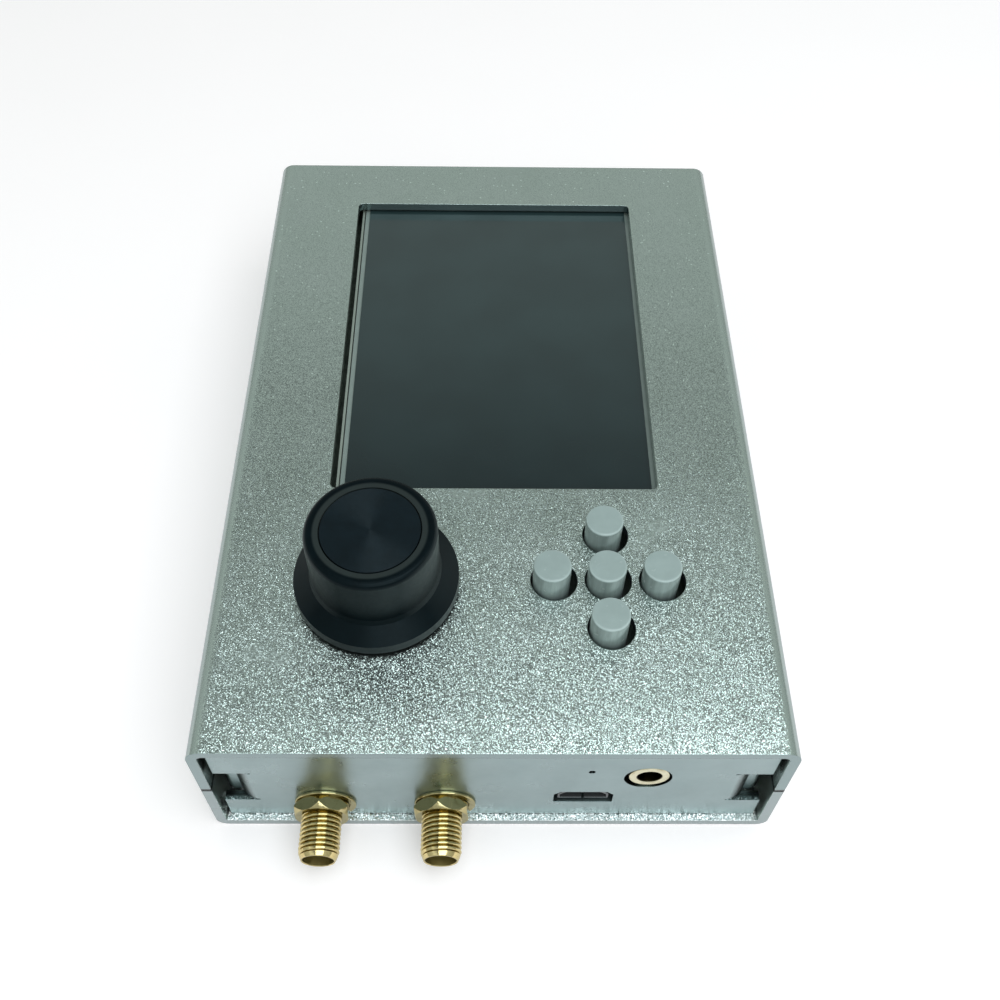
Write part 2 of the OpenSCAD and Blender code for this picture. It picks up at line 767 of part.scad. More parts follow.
module battery_pad() {
    inset = 3;
    color(black) translate([0, battery_y, display_z - battery_pad_t])
        linear_extrude(battery_pad_t) rounded_rect(battery_w - 2 * inset, battery_l - 2 * inset, 1);
}

module screen_polariser() {
    color([0.16, 0.2, 0.21]) translate([screen_shift_x, window_y, screen_z - polariser_t / 2])
        cube([polariser_w, polariser_l, polariser_t], center = true);
}

module screen_glass() {
    color([0.5, 0.55, 0.54]) block([screen_shift_x - glass_w / 2, glass_front_y, glass_z],
        [screen_shift_x + glass_w / 2, glass_rear_y, glass_z + glass_t]);
}

module backlight_tray() {
    rim_z = glass_z + glass_t - tray_step;
    color(white) difference() {
        block([screen_shift_x - tray_w / 2, tray_front_y, tray_z],
            [screen_shift_x + tray_w / 2, tray_rear_y, rim_z]);
        block([screen_shift_x - tray_w / 2 + tray_rim, tray_front_y + tray_rim, glass_z],
            [screen_shift_x + tray_w / 2 - tray_rim, tray_rear_y - tray_rim, rim_z + cut]);
    }
}

module screen_tape() {
    inset = 2;
    color(black) block([screen_shift_x - tray_w / 2 + inset, tray_front_y + inset, display_top],
        [screen_shift_x + tray_w / 2 - inset, tray_rear_y - inset, tray_z]);
}

// Ribbon from the glass ledge over the tray's end down to the display board
module screen_ribbon() {
    top = glass_z + glass_t;
    low = display_top;
    t = ribbon_t;
    start = glass_rear_y - glass_ledge / 2;
    foot = ribbon_y + 1;
    color([0.75, 0.5, 0.2]) translate([screen_shift_x - ribbon_w / 2, 0, 0])
        rotate([90, 0, 90]) linear_extrude(ribbon_w)
            polygon([[start, top], [ribbon_y, top], [ribbon_y, low], [foot, low],
                [foot, low + t], [ribbon_y + t, low + t], [ribbon_y + t, top + t], [start, top + t]]);
}

module encoder_housing() {
    color(steel) translate([knob_x, knob_y, 0]) difference() {
        union() {
            translate([-encoder_w / 2, -encoder_w / 2, display_top])
                cube([encoder_w, encoder_w, encoder_top - display_top]);
            translate([0, 0, encoder_top - 0.5]) cylinder(h = bushing_top - encoder_top + 0.5, d = bushing_d);
        }
        translate([0, 0, encoder_floor])
            cylinder(h = rotor_top + space - encoder_floor, d = rotor_d + 2 * space);
        translate([0, 0, encoder_floor]) cylinder(h = bushing_top, d = shaft_d + 2 * fit);
    }
}

module encoder_nut() {
    z = case_h + nut_washer_t;
    color(steel) translate([knob_x, knob_y, z]) difference() {
        hex_post(bushing_nut_af, nut_t);
        translate([0, 0, -cut]) cylinder(h = nut_t + 2 * cut, d = bushing_d + 2 * fit);
    }
}

module encoder_washer() {
    color(steel) translate([knob_x, knob_y, case_h]) difference() {
        cylinder(h = nut_washer_t, d = nut_washer_d);
        translate([0, 0, -cut]) cylinder(h = nut_washer_t + 2 * cut, d = bushing_d + 2 * fit);
    }
}

// Push piece under the shaft, which presses the switch in the housing's floor
module encoder_plunger() {
    low = encoder_floor + knob_travel + end_gap;
    color(black) translate([knob_x, knob_y, low])
        cylinder(h = rotor_top - rotor_t - low, d = encoder_plunger_d);
}

module encoder_shaft() {
    color(steel) translate([knob_x, knob_y, 0]) difference() {
        union() {
            translate([0, 0, rotor_top - rotor_t]) cylinder(h = rotor_t, d = rotor_d);
            translate([0, 0, rotor_top - rotor_t]) cylinder(h = shaft_top - rotor_top + rotor_t, d = shaft_d);
        }
        translate([-shaft_d, shaft_d / 2 - shaft_flat, shaft_flat_z]) cube([2 * shaft_d, shaft_d, shaft_top]);
    }
}

// Knob turned from bar: skirt, flare, wall, rounded edge and the disc's seat
module knob() {
    r_skirt = knob_skirt_d / 2;
    r = knob_d / 2;
    z_flare = knob_skirt_edge + knob_flare_h;
    z_lip = knob_h - knob_lip;
    r_seat = knob_disc_d / 2 + knob_groove;
    z_seat = knob_h - knob_disc_t;
    arc = [for (a = [0:15:90]) [r - knob_lip + knob_lip * cos(a), z_lip + knob_lip * sin(a)]];
    color(knob_black) translate([knob_x, knob_y, knob_z]) difference() {
        rotate_extrude() polygon(concat(
            [[0, 0], [r_skirt, 0], [r_skirt, knob_skirt_edge],
                [r + knob_fillet[0], z_flare], [r, z_flare + knob_fillet[1]]],
            arc,
            [[r_seat, knob_h], [r_seat, z_seat], [0, z_seat]]));
        translate([0, 0, -cut]) cylinder(h = knob_recess_top - knob_z + cut, d = knob_recess_d);
        difference() {
            cylinder(h = knob_bore_top - knob_z, d = shaft_d + 2 * fit);
            translate([-shaft_d, shaft_d / 2 - shaft_flat + fit, knob_recess_top - knob_z])
                cube([2 * shaft_d, shaft_d, knob_h]);
        }
        y_rod(0, grub_z - knob_z, 0, knob_d, grub_d + 2 * fit);
    }
}

module knob_disc() {
    color(knob_black) translate([knob_x, knob_y, knob_top - knob_disc_t])
        cylinder(h = knob_disc_t, d = knob_disc_d);
}

module knob_grub_screw() {
    y0 = shaft_d / 2 - shaft_flat + 2 * fit;
    length = 4;
    color(steel) translate([knob_x, knob_y, 0]) difference() {
        y_rod(0, grub_z, y0, y0 + length, grub_d);
        translate([0, y0 + length, grub_z]) rotate([90, 30, 0])
            cylinder(h = 3, d = grub_d / 2, center = true, $fn = 6);
    }
}

// Children at the axis of the switch in the given direction of the cross
module at_switch(d) {
    translate([caps_x + d[0] * button_pitch, buttons_y + d[1] * button_pitch, 0]) children();
}

module switch_housings() {
    color(black) for (d = DIRECTIONS) at_switch(d) difference() {
        translate([-switch_w / 2, -switch_w / 2, display_top]) cube([switch_w, switch_w, switch_h]);
        translate([0, 0, display_top + switch_floor]) cylinder(h = switch_h, d = plunger_d + 2 * fit);
    }
}

// Button cap: round pillar with an eased edge and a socket for the plunger's stem
module button_cap(d) {
    r = button_d / 2;
    h = cap_top - cap_z;
    arc = [for (a = [0:22.5:90]) [r - cap_edge + cap_edge * cos(a), h - cap_edge + cap_edge * sin(a)]];
    color(cap_grey) at_switch(d) translate([0, 0, cap_z]) difference() {
        rotate_extrude() polygon(concat([[0, 0], [r, 0]], arc, [[0, h]]));
        translate([0, 0, -cut]) cylinder(h = stem_h + 0.2 + cut, d = stem_d + 2 * fit);
    }
}
module cap_up() button_cap(DIR_UP);
module cap_down() button_cap(DIR_DOWN);
module cap_left() button_cap(DIR_LEFT);
module cap_right() button_cap(DIR_RIGHT);
module cap_centre() button_cap(DIR_CENTRE);

// Switch plunger: round slider below the cap and a stem inside it
module switch_plunger(d) {
    low = display_top + switch_floor + plunger_gap;
    color(white) at_switch(d) {
        translate([0, 0, low]) cylinder(h = cap_z - low, d = plunger_d);
        translate([0, 0, cap_z - 0.5]) cylinder(h = stem_h + 0.5, d = stem_d);
    }
}
module plunger_up() switch_plunger(DIR_UP);
module plunger_down() switch_plunger(DIR_DOWN);
module plunger_left() switch_plunger(DIR_LEFT);
module plunger_right() switch_plunger(DIR_RIGHT);
module plunger_centre() switch_plunger(DIR_CENTRE);

// Children at a jack on its panel's back face, with +Z out of the case
module at_jack(x, side) {
    translate([x, side * panel_back_y, jack_z]) rotate([-90 * side, 0, 0]) children();
}
module at_jacks() {
    at_jack(clock_in_x, -1) children();
    at_jack(clock_out_x, -1) children();
    at_jack(aerial_x, 1) children();
}

// Coaxial jack: square flange with board prongs, threaded barrel and hollow, tapered nose;
// the barrel has the thread's root diameter under the nut
module coax_jack() {
    r = jack_thread_d / 2;
    r_root = jack_root_d / 2;
    r_mouth = jack_mouth_d / 2;
    r_bore = jack_insulator_d / 2 + fit;
    thread = jack_nut_front + jack_relief;
    nose = jack_len - jack_nose;
    seat = jack_len - jack_mouth_depth;
    prong_y = (board_t + jack_prong[1]) / 2;
    prong_z = -jack_flange_t - jack_prong[2] / 2;
    color(gold) {
        rotate_extrude() polygon([[r_bore, -jack_flange_t], [r_root, -jack_flange_t], [r_root, thread],
            [r, thread], [r, nose], [r_mouth + jack_tip_wall, jack_len], [r_mouth, jack_len],
            [r_mouth, seat], [r_bore, seat]]);
        translate([0, 0, -jack_flange_t]) linear_extrude(jack_flange_t) difference() {
            square(jack_flange, center = true);
            circle(r_root - jack_relief);
        }
        for (sx = [-1, 1], sy = [-1, 1])
            translate([sx * jack_prong_x, sy * prong_y, prong_z]) cube(jack_prong, center = true);
    }
}
module clock_in_jack() at_jack(clock_in_x, -1) coax_jack();
module clock_out_jack() at_jack(clock_out_x, -1) coax_jack();
module aerial_jack() at_jack(aerial_x, 1) coax_jack();

module jack_insulators() {
    h = jack_len - jack_mouth_depth + jack_flange_t;
    color(white) at_jacks() translate([0, 0, -jack_flange_t]) difference() {
        cylinder(h = h, d = jack_insulator_d);
        translate([0, 0, -cut]) cylinder(h = h + 2 * cut, d = jack_contact_d + 2 * fit);
    }
}

module jack_contacts() {
    h = jack_len - jack_mouth_depth + jack_flange_t;
    socket = 2.5;
    color(gold) at_jacks() translate([0, 0, -jack_flange_t]) difference() {
        cylinder(h = h, d = jack_contact_d);
        translate([0, 0, h - socket]) cylinder(h = socket + cut, d = jack_contact_d * 0.72);
    }
}

// Nut with both ends bevelled, turned from corner-up by an angle
module jack_nut(turn) {
    r_flat = jack_nut_af / 2;
    r_corner = r_flat / cos(30);
    bevel = jack_nut_bevel * jack_nut_t;
    translate([0, 0, panel_t + jack_washer_t]) difference() {
        intersection() {
            rotate([0, 0, 90 + turn]) hex_post(jack_nut_af, jack_nut_t);
            rotate_extrude() polygon([[0, 0], [r_flat, 0], [r_corner, bevel],
                [r_corner, jack_nut_t - bevel], [r_flat, jack_nut_t], [0, jack_nut_t]]);
        }
        translate([0, 0, -cut]) cylinder(h = jack_nut_t + 2 * cut, d = jack_root_d + 2 * fit);
    }
}

module jack_nuts() {
    color(gold) {
        at_jack(clock_in_x, -1) jack_nut(0);
        at_jack(clock_out_x, -1) jack_nut(jack_nut_turn);
        at_jack(aerial_x, 1) jack_nut(-jack_nut_turn);
    }
}

module jack_washers() {
    color(gold) at_jacks() translate([jack_washer_shift, 0, panel_t]) difference() {
        cylinder(h = jack_washer_t, d = jack_washer_d);
        translate([0, 0, -cut]) cylinder(h = jack_washer_t + 2 * cut, d = jack_washer_bore);
    }
}

module usb_shell() {
    color(steel) difference() {
        translate([0, usb_front_y + usb_len, 0]) rotate([90, 0, 0]) linear_extrude(usb_len) usb_outline(0);
        translate([0, usb_front_y + usb_len - usb_wall, 0]) rotate([90, 0, 0])
            linear_extrude(usb_len + cut) usb_outline(-usb_wall);
        translate([usb_x - usb_seam / 2, usb_front_y - cut, main_top - cut])
            cube([usb_seam, usb_len, 2 * cut]);
    }
}

module usb_tongue() {
    tongue = [4, 4.4, 0.7];
    back = usb_front_y + usb_len - usb_wall;
    color(black) translate([usb_x - tongue[0] / 2, back - tongue[1], main_top + usb_h * 0.52]) cube(tongue);
}

// Gold nose and contact tube of the headphone jack, in one turned piece
module phones_sleeve() {
    nose = phones_body_y - phones_front_y;
    color(gold) translate([phones_x, phones_front_y, phones_z]) rotate([-90, 0, 0])
        rotate_extrude() polygon([[phones_bore_d / 2, 0], [phones_nose_d / 2, 0], [phones_nose_d / 2, nose],
            [phones_tube_d / 2, nose], [phones_tube_d / 2, nose + phones_len - 1],
            [phones_bore_d / 2, nose + phones_len - 1]]);
}

module phones_body() {
    skin = 0.3;
    drop = phones_drop + phones_tube_d / 2 + skin;
    back = phones_body_y + phones_len;
    color(black) difference() {
        block([phones_x - phones_body_w / 2, phones_body_y, display_z - drop],
            [phones_x + phones_body_w / 2, back, display_z]);
        y_rod(phones_x, phones_z, phones_body_y - cut, back - 2 * skin, phones_tube_d + 2 * fit);
    }
}

module microphone() {
    color(steel) block([mic_x - mic_size[0] / 2, -board_half_l, display_z - mic_size[2]],
        [mic_x + mic_size[0] / 2, -board_half_l + mic_size[1], display_z]);
}

module card_socket() {
    rear = board_half_l + board_end_gap;
    slot = [card_slot_w, 2 * (card_size[1] - 2), card_slot_h];
    color(steel) difference() {
        block([card_x - card_size[0] / 2, rear - card_size[1], display_z - card_size[2]],
            [card_x + card_size[0] / 2, rear, display_z]);
        translate([card_x, rear, card_z]) cube(slot, center = true);
    }
}

module rear_switch_housings() {
    mouth = rear_switch_y + rear_switch[1];
    color(black) for (x = rear_button_x) difference() {
        block([x - rear_switch[0] / 2, rear_switch_y, main_top],
            [x + rear_switch[0] / 2, mouth, main_top + rear_switch[2]]);
        y_rod(x, rear_button_z, rear_switch_y + rear_switch_floor, mouth + cut, rear_button_d + 2 * fit);
    }
}

// Push pin that reaches from its switch through the rear panel
module rear_button(x) {
    start = rear_switch_y + rear_switch_floor + rear_button_travel + end_gap;
    color(black) y_rod(x, rear_button_z, start, panel_face_y, rear_button_d);
}
module reset_button() rear_button(rear_button_x[0]);
module service_button() rear_button(rear_button_x[1]);

module light_pipes() {
    color(white) for (i = [0:light_count - 1])
        y_rod(light_x - i * light_pitch, light_z, board_half_l - 0.3, panel_face_y, light_d);
}

module indicator_lights() {
    color(white) for (i = [0:light_count - 1])
        translate([light_x - i * light_pitch, board_half_l - 0.4 - lamp[1] / 2, main_top + lamp[2] / 2])
            cube(lamp, center = true);
}

top_shell();
bottom_shell();
front_panel();
rear_panel();
side_screws();
bottom_screws();
main_board();
display_board();
board_standoffs();
board_spacers();
board_screws();
board_headers();
shield_can();
main_board_chips();
battery();
battery_pad();
screen_polariser();
screen_glass();
backlight_tray();
screen_tape();
screen_ribbon();
encoder_housing();
encoder_nut();
encoder_washer();
encoder_plunger();
encoder_shaft();
knob();
knob_disc();
knob_grub_screw();
switch_housings();
cap_up();
cap_down();
cap_left();
cap_right();
cap_centre();
plunger_up();
plunger_down();
plunger_left();
plunger_right();
plunger_centre();
clock_in_jack();
clock_out_jack();
aerial_jack();
jack_insulators();
jack_contacts();
jack_nuts();
jack_washers();
usb_shell();
usb_tongue();
phones_sleeve();
phones_body();
microphone();
card_socket();
rear_switch_housings();
reset_button();
service_button();
light_pipes();
indicator_lights();
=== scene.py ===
import logging
import math
from dataclasses import dataclass, field
from enum import Enum
from typing import Dict, List, Optional, Sequence, Tuple

import bmesh
import bpy
from mathutils import Matrix, Vector


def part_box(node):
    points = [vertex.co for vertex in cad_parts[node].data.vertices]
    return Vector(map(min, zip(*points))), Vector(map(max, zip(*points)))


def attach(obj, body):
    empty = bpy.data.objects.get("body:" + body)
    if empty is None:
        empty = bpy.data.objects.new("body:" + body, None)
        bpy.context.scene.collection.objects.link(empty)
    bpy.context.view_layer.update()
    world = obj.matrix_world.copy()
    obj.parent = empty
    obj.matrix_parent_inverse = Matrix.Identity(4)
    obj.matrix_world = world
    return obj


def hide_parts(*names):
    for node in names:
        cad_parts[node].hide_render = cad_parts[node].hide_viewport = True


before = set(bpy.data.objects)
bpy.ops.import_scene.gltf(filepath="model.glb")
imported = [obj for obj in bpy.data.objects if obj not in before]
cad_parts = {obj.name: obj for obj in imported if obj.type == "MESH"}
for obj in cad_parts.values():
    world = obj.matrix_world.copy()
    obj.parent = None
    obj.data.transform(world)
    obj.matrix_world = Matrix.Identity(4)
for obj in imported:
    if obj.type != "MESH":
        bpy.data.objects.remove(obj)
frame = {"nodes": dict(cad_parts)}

LOG = logging.getLogger("radio")
MM = 0.001
Point = Tuple[float, float]
Triple = Tuple[float, float, float]
Colour = Triple
Stops = Sequence[Tuple[float, Colour]]
Socket = bpy.types.NodeSocket
WHITE: Colour = (1.0, 1.0, 1.0)
BLACK: Colour = (0.0, 0.0, 0.0)
DOWN = Vector((0.0, 0.0, -1.0))


class Body(Enum):
    """Bodies of the radio that a new piece can ride on."""

    CASE = "case"


class Slot(Enum):
    """Material slots of the record that a new piece can have."""

    GOLD = "gold_plate"


class Axis(Enum):
    """Axes of the radio: X to the right, Y to the rear and Z up."""

    X = "X"
    Y = "Y"
    Z = "Z"


class Measure(Enum):
    """Ways to measure a distance from a point, by the axes that count."""

    ACROSS = (1.0, 0.0, 0.0)
    LENGTHWISE = (0.0, 1.0, 0.0)
    UPWARD = (0.0, 0.0, 1.0)
    FROM_UPRIGHT_LINE = (1.0, 1.0, 0.0)
    FROM_LEVEL_LINE = (1.0, 0.0, 1.0)


class Blend(Enum):
    """Ways to lay one colour over another."""

    MIX = "MIX"
    MULTIPLY = "MULTIPLY"
    ADD = "ADD"


def shade(colour: Colour, share: float) -> Colour:
    """A colour made lighter or darker by a share."""
    return (colour[0] * share, colour[1] * share, colour[2] * share)


def grey(level: float) -> Colour:
    """A grey of one level."""
    return (level, level, level)


def fill_ramp(node: bpy.types.Node, stops: Stops) -> None:
    """Set the stops of a colour ramp.

    Args:
        node: The ramp.
        stops: Places and colours.
    """
    elements = node.color_ramp.elements
    while len(elements) < len(stops):
        elements.new(0.5)
    for element, (place, colour) in zip(elements, stops):
        element.position = place
        element.color = (*colour, 1.0)


class Graph:
    """Node tree of one material, with short ways to add the nodes that the finishes share."""

    def __init__(self, name: str) -> None:
        """Start an empty material.

        Args:
            name: Name of the material.
        """
        self.material = bpy.data.materials.new(name)
        self.material.use_nodes = True
        self.tree = self.material.node_tree
        self.tree.nodes.clear()
        self.shader = self.add("ShaderNodeBsdfPrincipled")
        output = self.add("ShaderNodeOutputMaterial")
        self.link(self.shader.outputs["BSDF"], output.inputs["Surface"])
        self.point = self.add("ShaderNodeTexCoord").outputs["Object"]

    def add(self, kind: str, **settings: object) -> bpy.types.Node:
        """Add a node.

        Args:
            kind: Blender's name for the node type.
            settings: Attributes to set on the node.

        Returns:
            The new node.
        """
        node = self.tree.nodes.new(kind)
        for name, value in settings.items():
            setattr(node, name, value)
        return node

    def link(self, start: Socket, end: Socket) -> None:
        """Join an output to an input."""
        self.tree.links.new(start, end)

    def set(self, **values: object) -> None:
        """Set uniform values on the shader.

        Args:
            values: Socket names with underscores for spaces, and their values.
        """
        for name, value in values.items():
            socket = self.shader.inputs[name.replace("_", " ")]
            socket.default_value = (*value, 1.0) if isinstance(value, tuple) else value

    def placed(self, centre: Vector, scale: Triple = (1.0, 1.0, 1.0)) -> Socket:
        """Object coordinates measured from a centre.

        Args:
            centre: Point that becomes the origin of the pattern, in metres.
            scale: Stretch of the pattern along each axis.

        Returns:
            The output that carries the moved coordinates.
        """
        mapping = self.add("ShaderNodeMapping")
        mapping.inputs["Location"].default_value = [-c * s for c, s in zip(centre, scale)]
        mapping.inputs["Scale"].default_value = scale
        self.link(self.point, mapping.inputs["Vector"])
        return mapping.outputs["Vector"]

    def noise(self, size_mm: float, detail: float = 2.0, rough: float = 0.5,
              at: Optional[Socket] = None) -> Socket:
        """Cloudy noise.

        Args:
            size_mm: Size of one grain in millimetres.
            detail: Number of finer layers.
            rough: Weight of the finer layers.
            at: Coordinates, or the object's own.

        Returns:
            The noise value, from 0 to 1.
        """
        node = self.add("ShaderNodeTexNoise")
        node.inputs["Scale"].default_value = 1.0 / (size_mm * MM)
        node.inputs["Detail"].default_value = detail
        node.inputs["Roughness"].default_value = rough
        self.link(at or self.point, node.inputs["Vector"])
        return node.outputs["Fac"]

    def cells(self, size_mm: float, feature: str = "F1") -> bpy.types.Node:
        """Pattern of cells.

        Args:
            size_mm: Size of one cell in millimetres.
            feature: Blender's name of the distance.

        Returns:
            The node, which gives a distance and a random colour for each cell.
        """
        node = self.add("ShaderNodeTexVoronoi", feature=feature)
        node.inputs["Scale"].default_value = 1.0 / (size_mm * MM)
        self.link(self.point, node.inputs["Vector"])
        return node

    def part(self, vector: Socket, axis: Axis) -> Socket:
        """The part of a vector along an axis.

        Args:
            vector: The vector.
            axis: The axis.

        Returns:
            The part's value.
        """
        node = self.add("ShaderNodeSeparateXYZ")
        self.link(vector, node.inputs["Vector"])
        return node.outputs[axis.value]

    def calc(self, operation: str, *values: Socket) -> Socket:
        """Reckon with values.

        Args:
            operation: Blender's name of the operation.
            values: What it takes.

        Returns:
            The result.
        """
        node = self.add("ShaderNodeMath", operation=operation)
        for value, socket in zip(values, node.inputs):
            self.link(value, socket)
        return node.outputs["Value"]

    def painted_glints(self, size_mm: float, share: float, light: float) -> Socket:
        """Painted glints: single lighter grains among many plain ones.

        Args:
            size_mm: Size of one grain in millimetres.
            share: Share of the grains that is bright.
            light: Brightness of those, where the others have 1.

        Returns:
            The brightness as a colour.
        """
        chance = self.part(self.cells(size_mm).outputs["Color"], Axis.X)
        return self.fade(chance, WHITE, grey(light), 1.0 - 1.5 * share, 1.0 - share)

    def reach(self, centre: Vector, reach_mm: float, measure: Measure) -> Socket:
        """Distance from a point.

        Args:
            centre: The point, in metres.
            reach_mm: Distance that gives 1.
            measure: Axes that count.

        Returns:
            The distance as a share of the reach.
        """
        node = self.add("ShaderNodeVectorMath", operation="LENGTH")
        self.link(self.placed(centre, shade(measure.value, 1.0 / (reach_mm * MM))), node.inputs[0])
        return node.outputs["Value"]

    def rings(self, centre: Vector, pitch_mm: float) -> Socket:
        """Turning marks round an upright axis.

        Args:
            centre: Point on the axis, in metres.
            pitch_mm: Distance between two marks.

        Returns:
            A wave value, from 0 to 1.
        """
        wave = self.add("ShaderNodeTexWave", wave_type="RINGS", rings_direction="Z")
        wave.inputs["Scale"].default_value = math.pi / (10.0 * pitch_mm * MM)
        wave.inputs["Distortion"].default_value = 0.6
        self.link(self.placed(centre), wave.inputs["Vector"])
        return wave.outputs["Fac"]

    def ramp(self, value: Socket, stops: Stops) -> Socket:
        """Colours along a value.

        Args:
            value: Input from 0 to 1.
            stops: Places and colours.

        Returns:
            The colour.
        """
        node = self.add("ShaderNodeValToRGB")
        fill_ramp(node, stops)
        self.link(value, node.inputs["Fac"])
        return node.outputs["Color"]

    def fade(self, value: Socket, first: Colour, last: Colour, start: float = 0.0,
             end: float = 1.0) -> Socket:
        """Two colours along a value.

        Args:
            value: Input from 0 to 1.
            first: Colour at the start and before it.
            last: Colour at the end and after it.
            start: Place of the first colour.
            end: Place of the last colour.

        Returns:
            The colour.
        """
        return self.ramp(value, [(start, first), (end, last)])

    def span(self, value: Socket, low: float, high: float, start: float = 0.3,
             end: float = 0.7) -> Socket:
        """Move a value into a range.

        Args:
            value: Input from 0 to 1.
            low: Result at start.
            high: Result at end.
            start: Input that gives low.
            end: Input that gives high.

        Returns:
            The moved value.
        """
        node = self.add("ShaderNodeMapRange")
        for name, number in zip(("From Min", "From Max", "To Min", "To Max"), (start, end, low, high)):
            node.inputs[name].default_value = number
        self.link(value, node.inputs["Value"])
        return node.outputs["Result"]

    def facets(self, size_mm: float, tilt: float, share: Socket, edge_mm: float) -> None:
        """Break the surface into flat grains that lean at random.

        Args:
            size_mm: Size of one grain in millimetres.
            tilt: Largest lean of a grain, as a slope.
            share: Where the grains are, from 0 to 1.
            edge_mm: Width over which sharp edges look worn round.
        """
        lean = self.add("ShaderNodeVectorMath", operation="MULTIPLY_ADD")
        lean.inputs[1].default_value = grey(2 * tilt)
        lean.inputs[2].default_value = grey(-tilt)
        self.link(self.cells(size_mm).outputs["Color"], lean.inputs[0])
        part = self.add("ShaderNodeVectorMath", operation="SCALE")
        self.link(lean.outputs["Vector"], part.inputs[0])
        self.link(share, part.inputs["Scale"])
        edge = self.add("ShaderNodeBevel", samples=6)
        edge.inputs["Radius"].default_value = edge_mm * MM
        total = self.add("ShaderNodeVectorMath", operation="ADD")
        self.link(part.outputs["Vector"], total.inputs[0])
        self.link(edge.outputs["Normal"], total.inputs[1])
        unit = self.add("ShaderNodeVectorMath", operation="NORMALIZE")
        self.link(total.outputs["Vector"], unit.inputs[0])
        self.link(unit.outputs["Vector"], self.shader.inputs["Normal"])

    def normal(self, axis: Axis) -> Socket:
        """The part of the surface's normal along an axis."""
        return self.part(self.add("ShaderNodeNewGeometry").outputs["Normal"], axis)

    def facing(self, axis: Axis, start: float, end: float, one_way: bool = False) -> Socket:
        """How squarely a face looks along an axis.

        Args:
            axis: The axis.
            start: Part of the normal along the axis that gives 0.
            end: Part of the normal along the axis that gives 1.
            one_way: Whether faces that look the other way count as turned away.

        Returns:
            A share from 0 to 1.
        """
        part = self.normal(axis)
        if not one_way:
            part = self.calc("ABSOLUTE", part)
        return self.span(part, 0.0, 1.0, start, end)

    def inward(self, axis: Axis) -> Socket:
        """Whether a face looks back to the middle of the radio along an axis.

        Args:
            axis: The axis.

        Returns:
            1 for faces that look inwards, 0 for those that look outwards.
        """
        outward = self.calc("MULTIPLY", self.part(self.point, axis), self.normal(axis))
        return self.span(outward, 1.0, 0.0, -MM, 0.0)

    def along(self, axis: Axis, range_mm: Point, low: float = 0.0, high: float = 1.0) -> Socket:
        """A value that changes along an axis of the radio.

        Args:
            axis: The axis.
            range_mm: Places that give low and high.
            low: Value at the first place and before it.
            high: Value at the second place and after it.

        Returns:
            The value.
        """
        return self.span(self.part(self.point, axis), low, high, range_mm[0] * MM, range_mm[1] * MM)

    def lay(self, blend: Blend, layer: Socket, share: Optional[Socket] = None) -> None:
        """Lay a layer over the base colour.

        Args:
            blend: How the layer is laid.
            layer: Colour of the layer.
            share: Where the layer is, or everywhere.
        """
        node = self.add("ShaderNodeMix", data_type="RGBA", blend_type=blend.value)
        sockets = {socket.identifier: socket for socket in list(node.inputs) + list(node.outputs)}
        sockets["Factor_Float"].default_value = 1.0
        if share:
            self.link(share, sockets["Factor_Float"])
        self.link(self.shader.inputs["Base Color"].links[0].from_socket, sockets["A_Color"])
        self.link(layer, sockets["B_Color"])
        self.tone(sockets["Result_Color"])

    def dim(self, layer: Socket, share: Optional[Socket] = None) -> None:
        """Multiply the base colour by a layer, everywhere or at a share."""
        self.lay(Blend.MULTIPLY, layer, share)

    def tone(self, colour: Socket) -> None:
        """Use an output as the base colour."""
        self.link(colour, self.shader.inputs["Base Color"])

    def polish(self, noise: Socket, low: float, high: float) -> None:
        """Let the roughness change with a noise, from a low value to a high one."""
        self.link(self.span(noise, low, high), self.shader.inputs["Roughness"])

    def bump(self, height: Socket, depth_mm: float) -> None:
        """Raise the surface by a height, on top of the bumps added before.

        Args:
            height: Value from 0 to 1.
            depth_mm: Height in millimetres of a step from 0 to 1.
        """
        node = self.add("ShaderNodeBump")
        node.inputs["Strength"].default_value = 1.0
        node.inputs["Distance"].default_value = depth_mm * MM
        self.link(height, node.inputs["Height"])
        normal = self.shader.inputs["Normal"]
        if normal.is_linked:
            self.link(normal.links[0].from_socket, node.inputs["Normal"])
        self.link(node.outputs["Normal"], normal)


@dataclass(frozen=True)
class Finish:
    """Look of one kind of surface."""

    name: str
    colour: Colour
    rough: float = 0.5

    def make(self) -> bpy.types.Material:
        """Build the material.

        Returns:
            The new material.
        """
        graph = Graph(self.name)
        graph.set(Roughness=self.rough)
        self.draw(graph)
        return graph.material

    def draw(self, graph: Graph) -> None:
        """Add this finish's nodes.

        Args:
            graph: The material's node tree.
        """
        raise NotImplementedError

    def cloud(self, graph: Graph, noise: Socket, dark: float, light: float, start: float = 0.3,
              end: float = 0.7) -> None:
        """Colour the surface in clouds of the finish's own colour.

        Args:
            graph: The material's node tree.
            noise: Noise that shapes the clouds.
            dark: Share of the colour where the noise is low.
            light: Share of the colour where the noise is high.
            start: Noise that gives the dark share.
            end: Noise that gives the light share.
        """
        graph.tone(graph.fade(noise, shade(self.colour, dark), shade(self.colour, light), start, end))


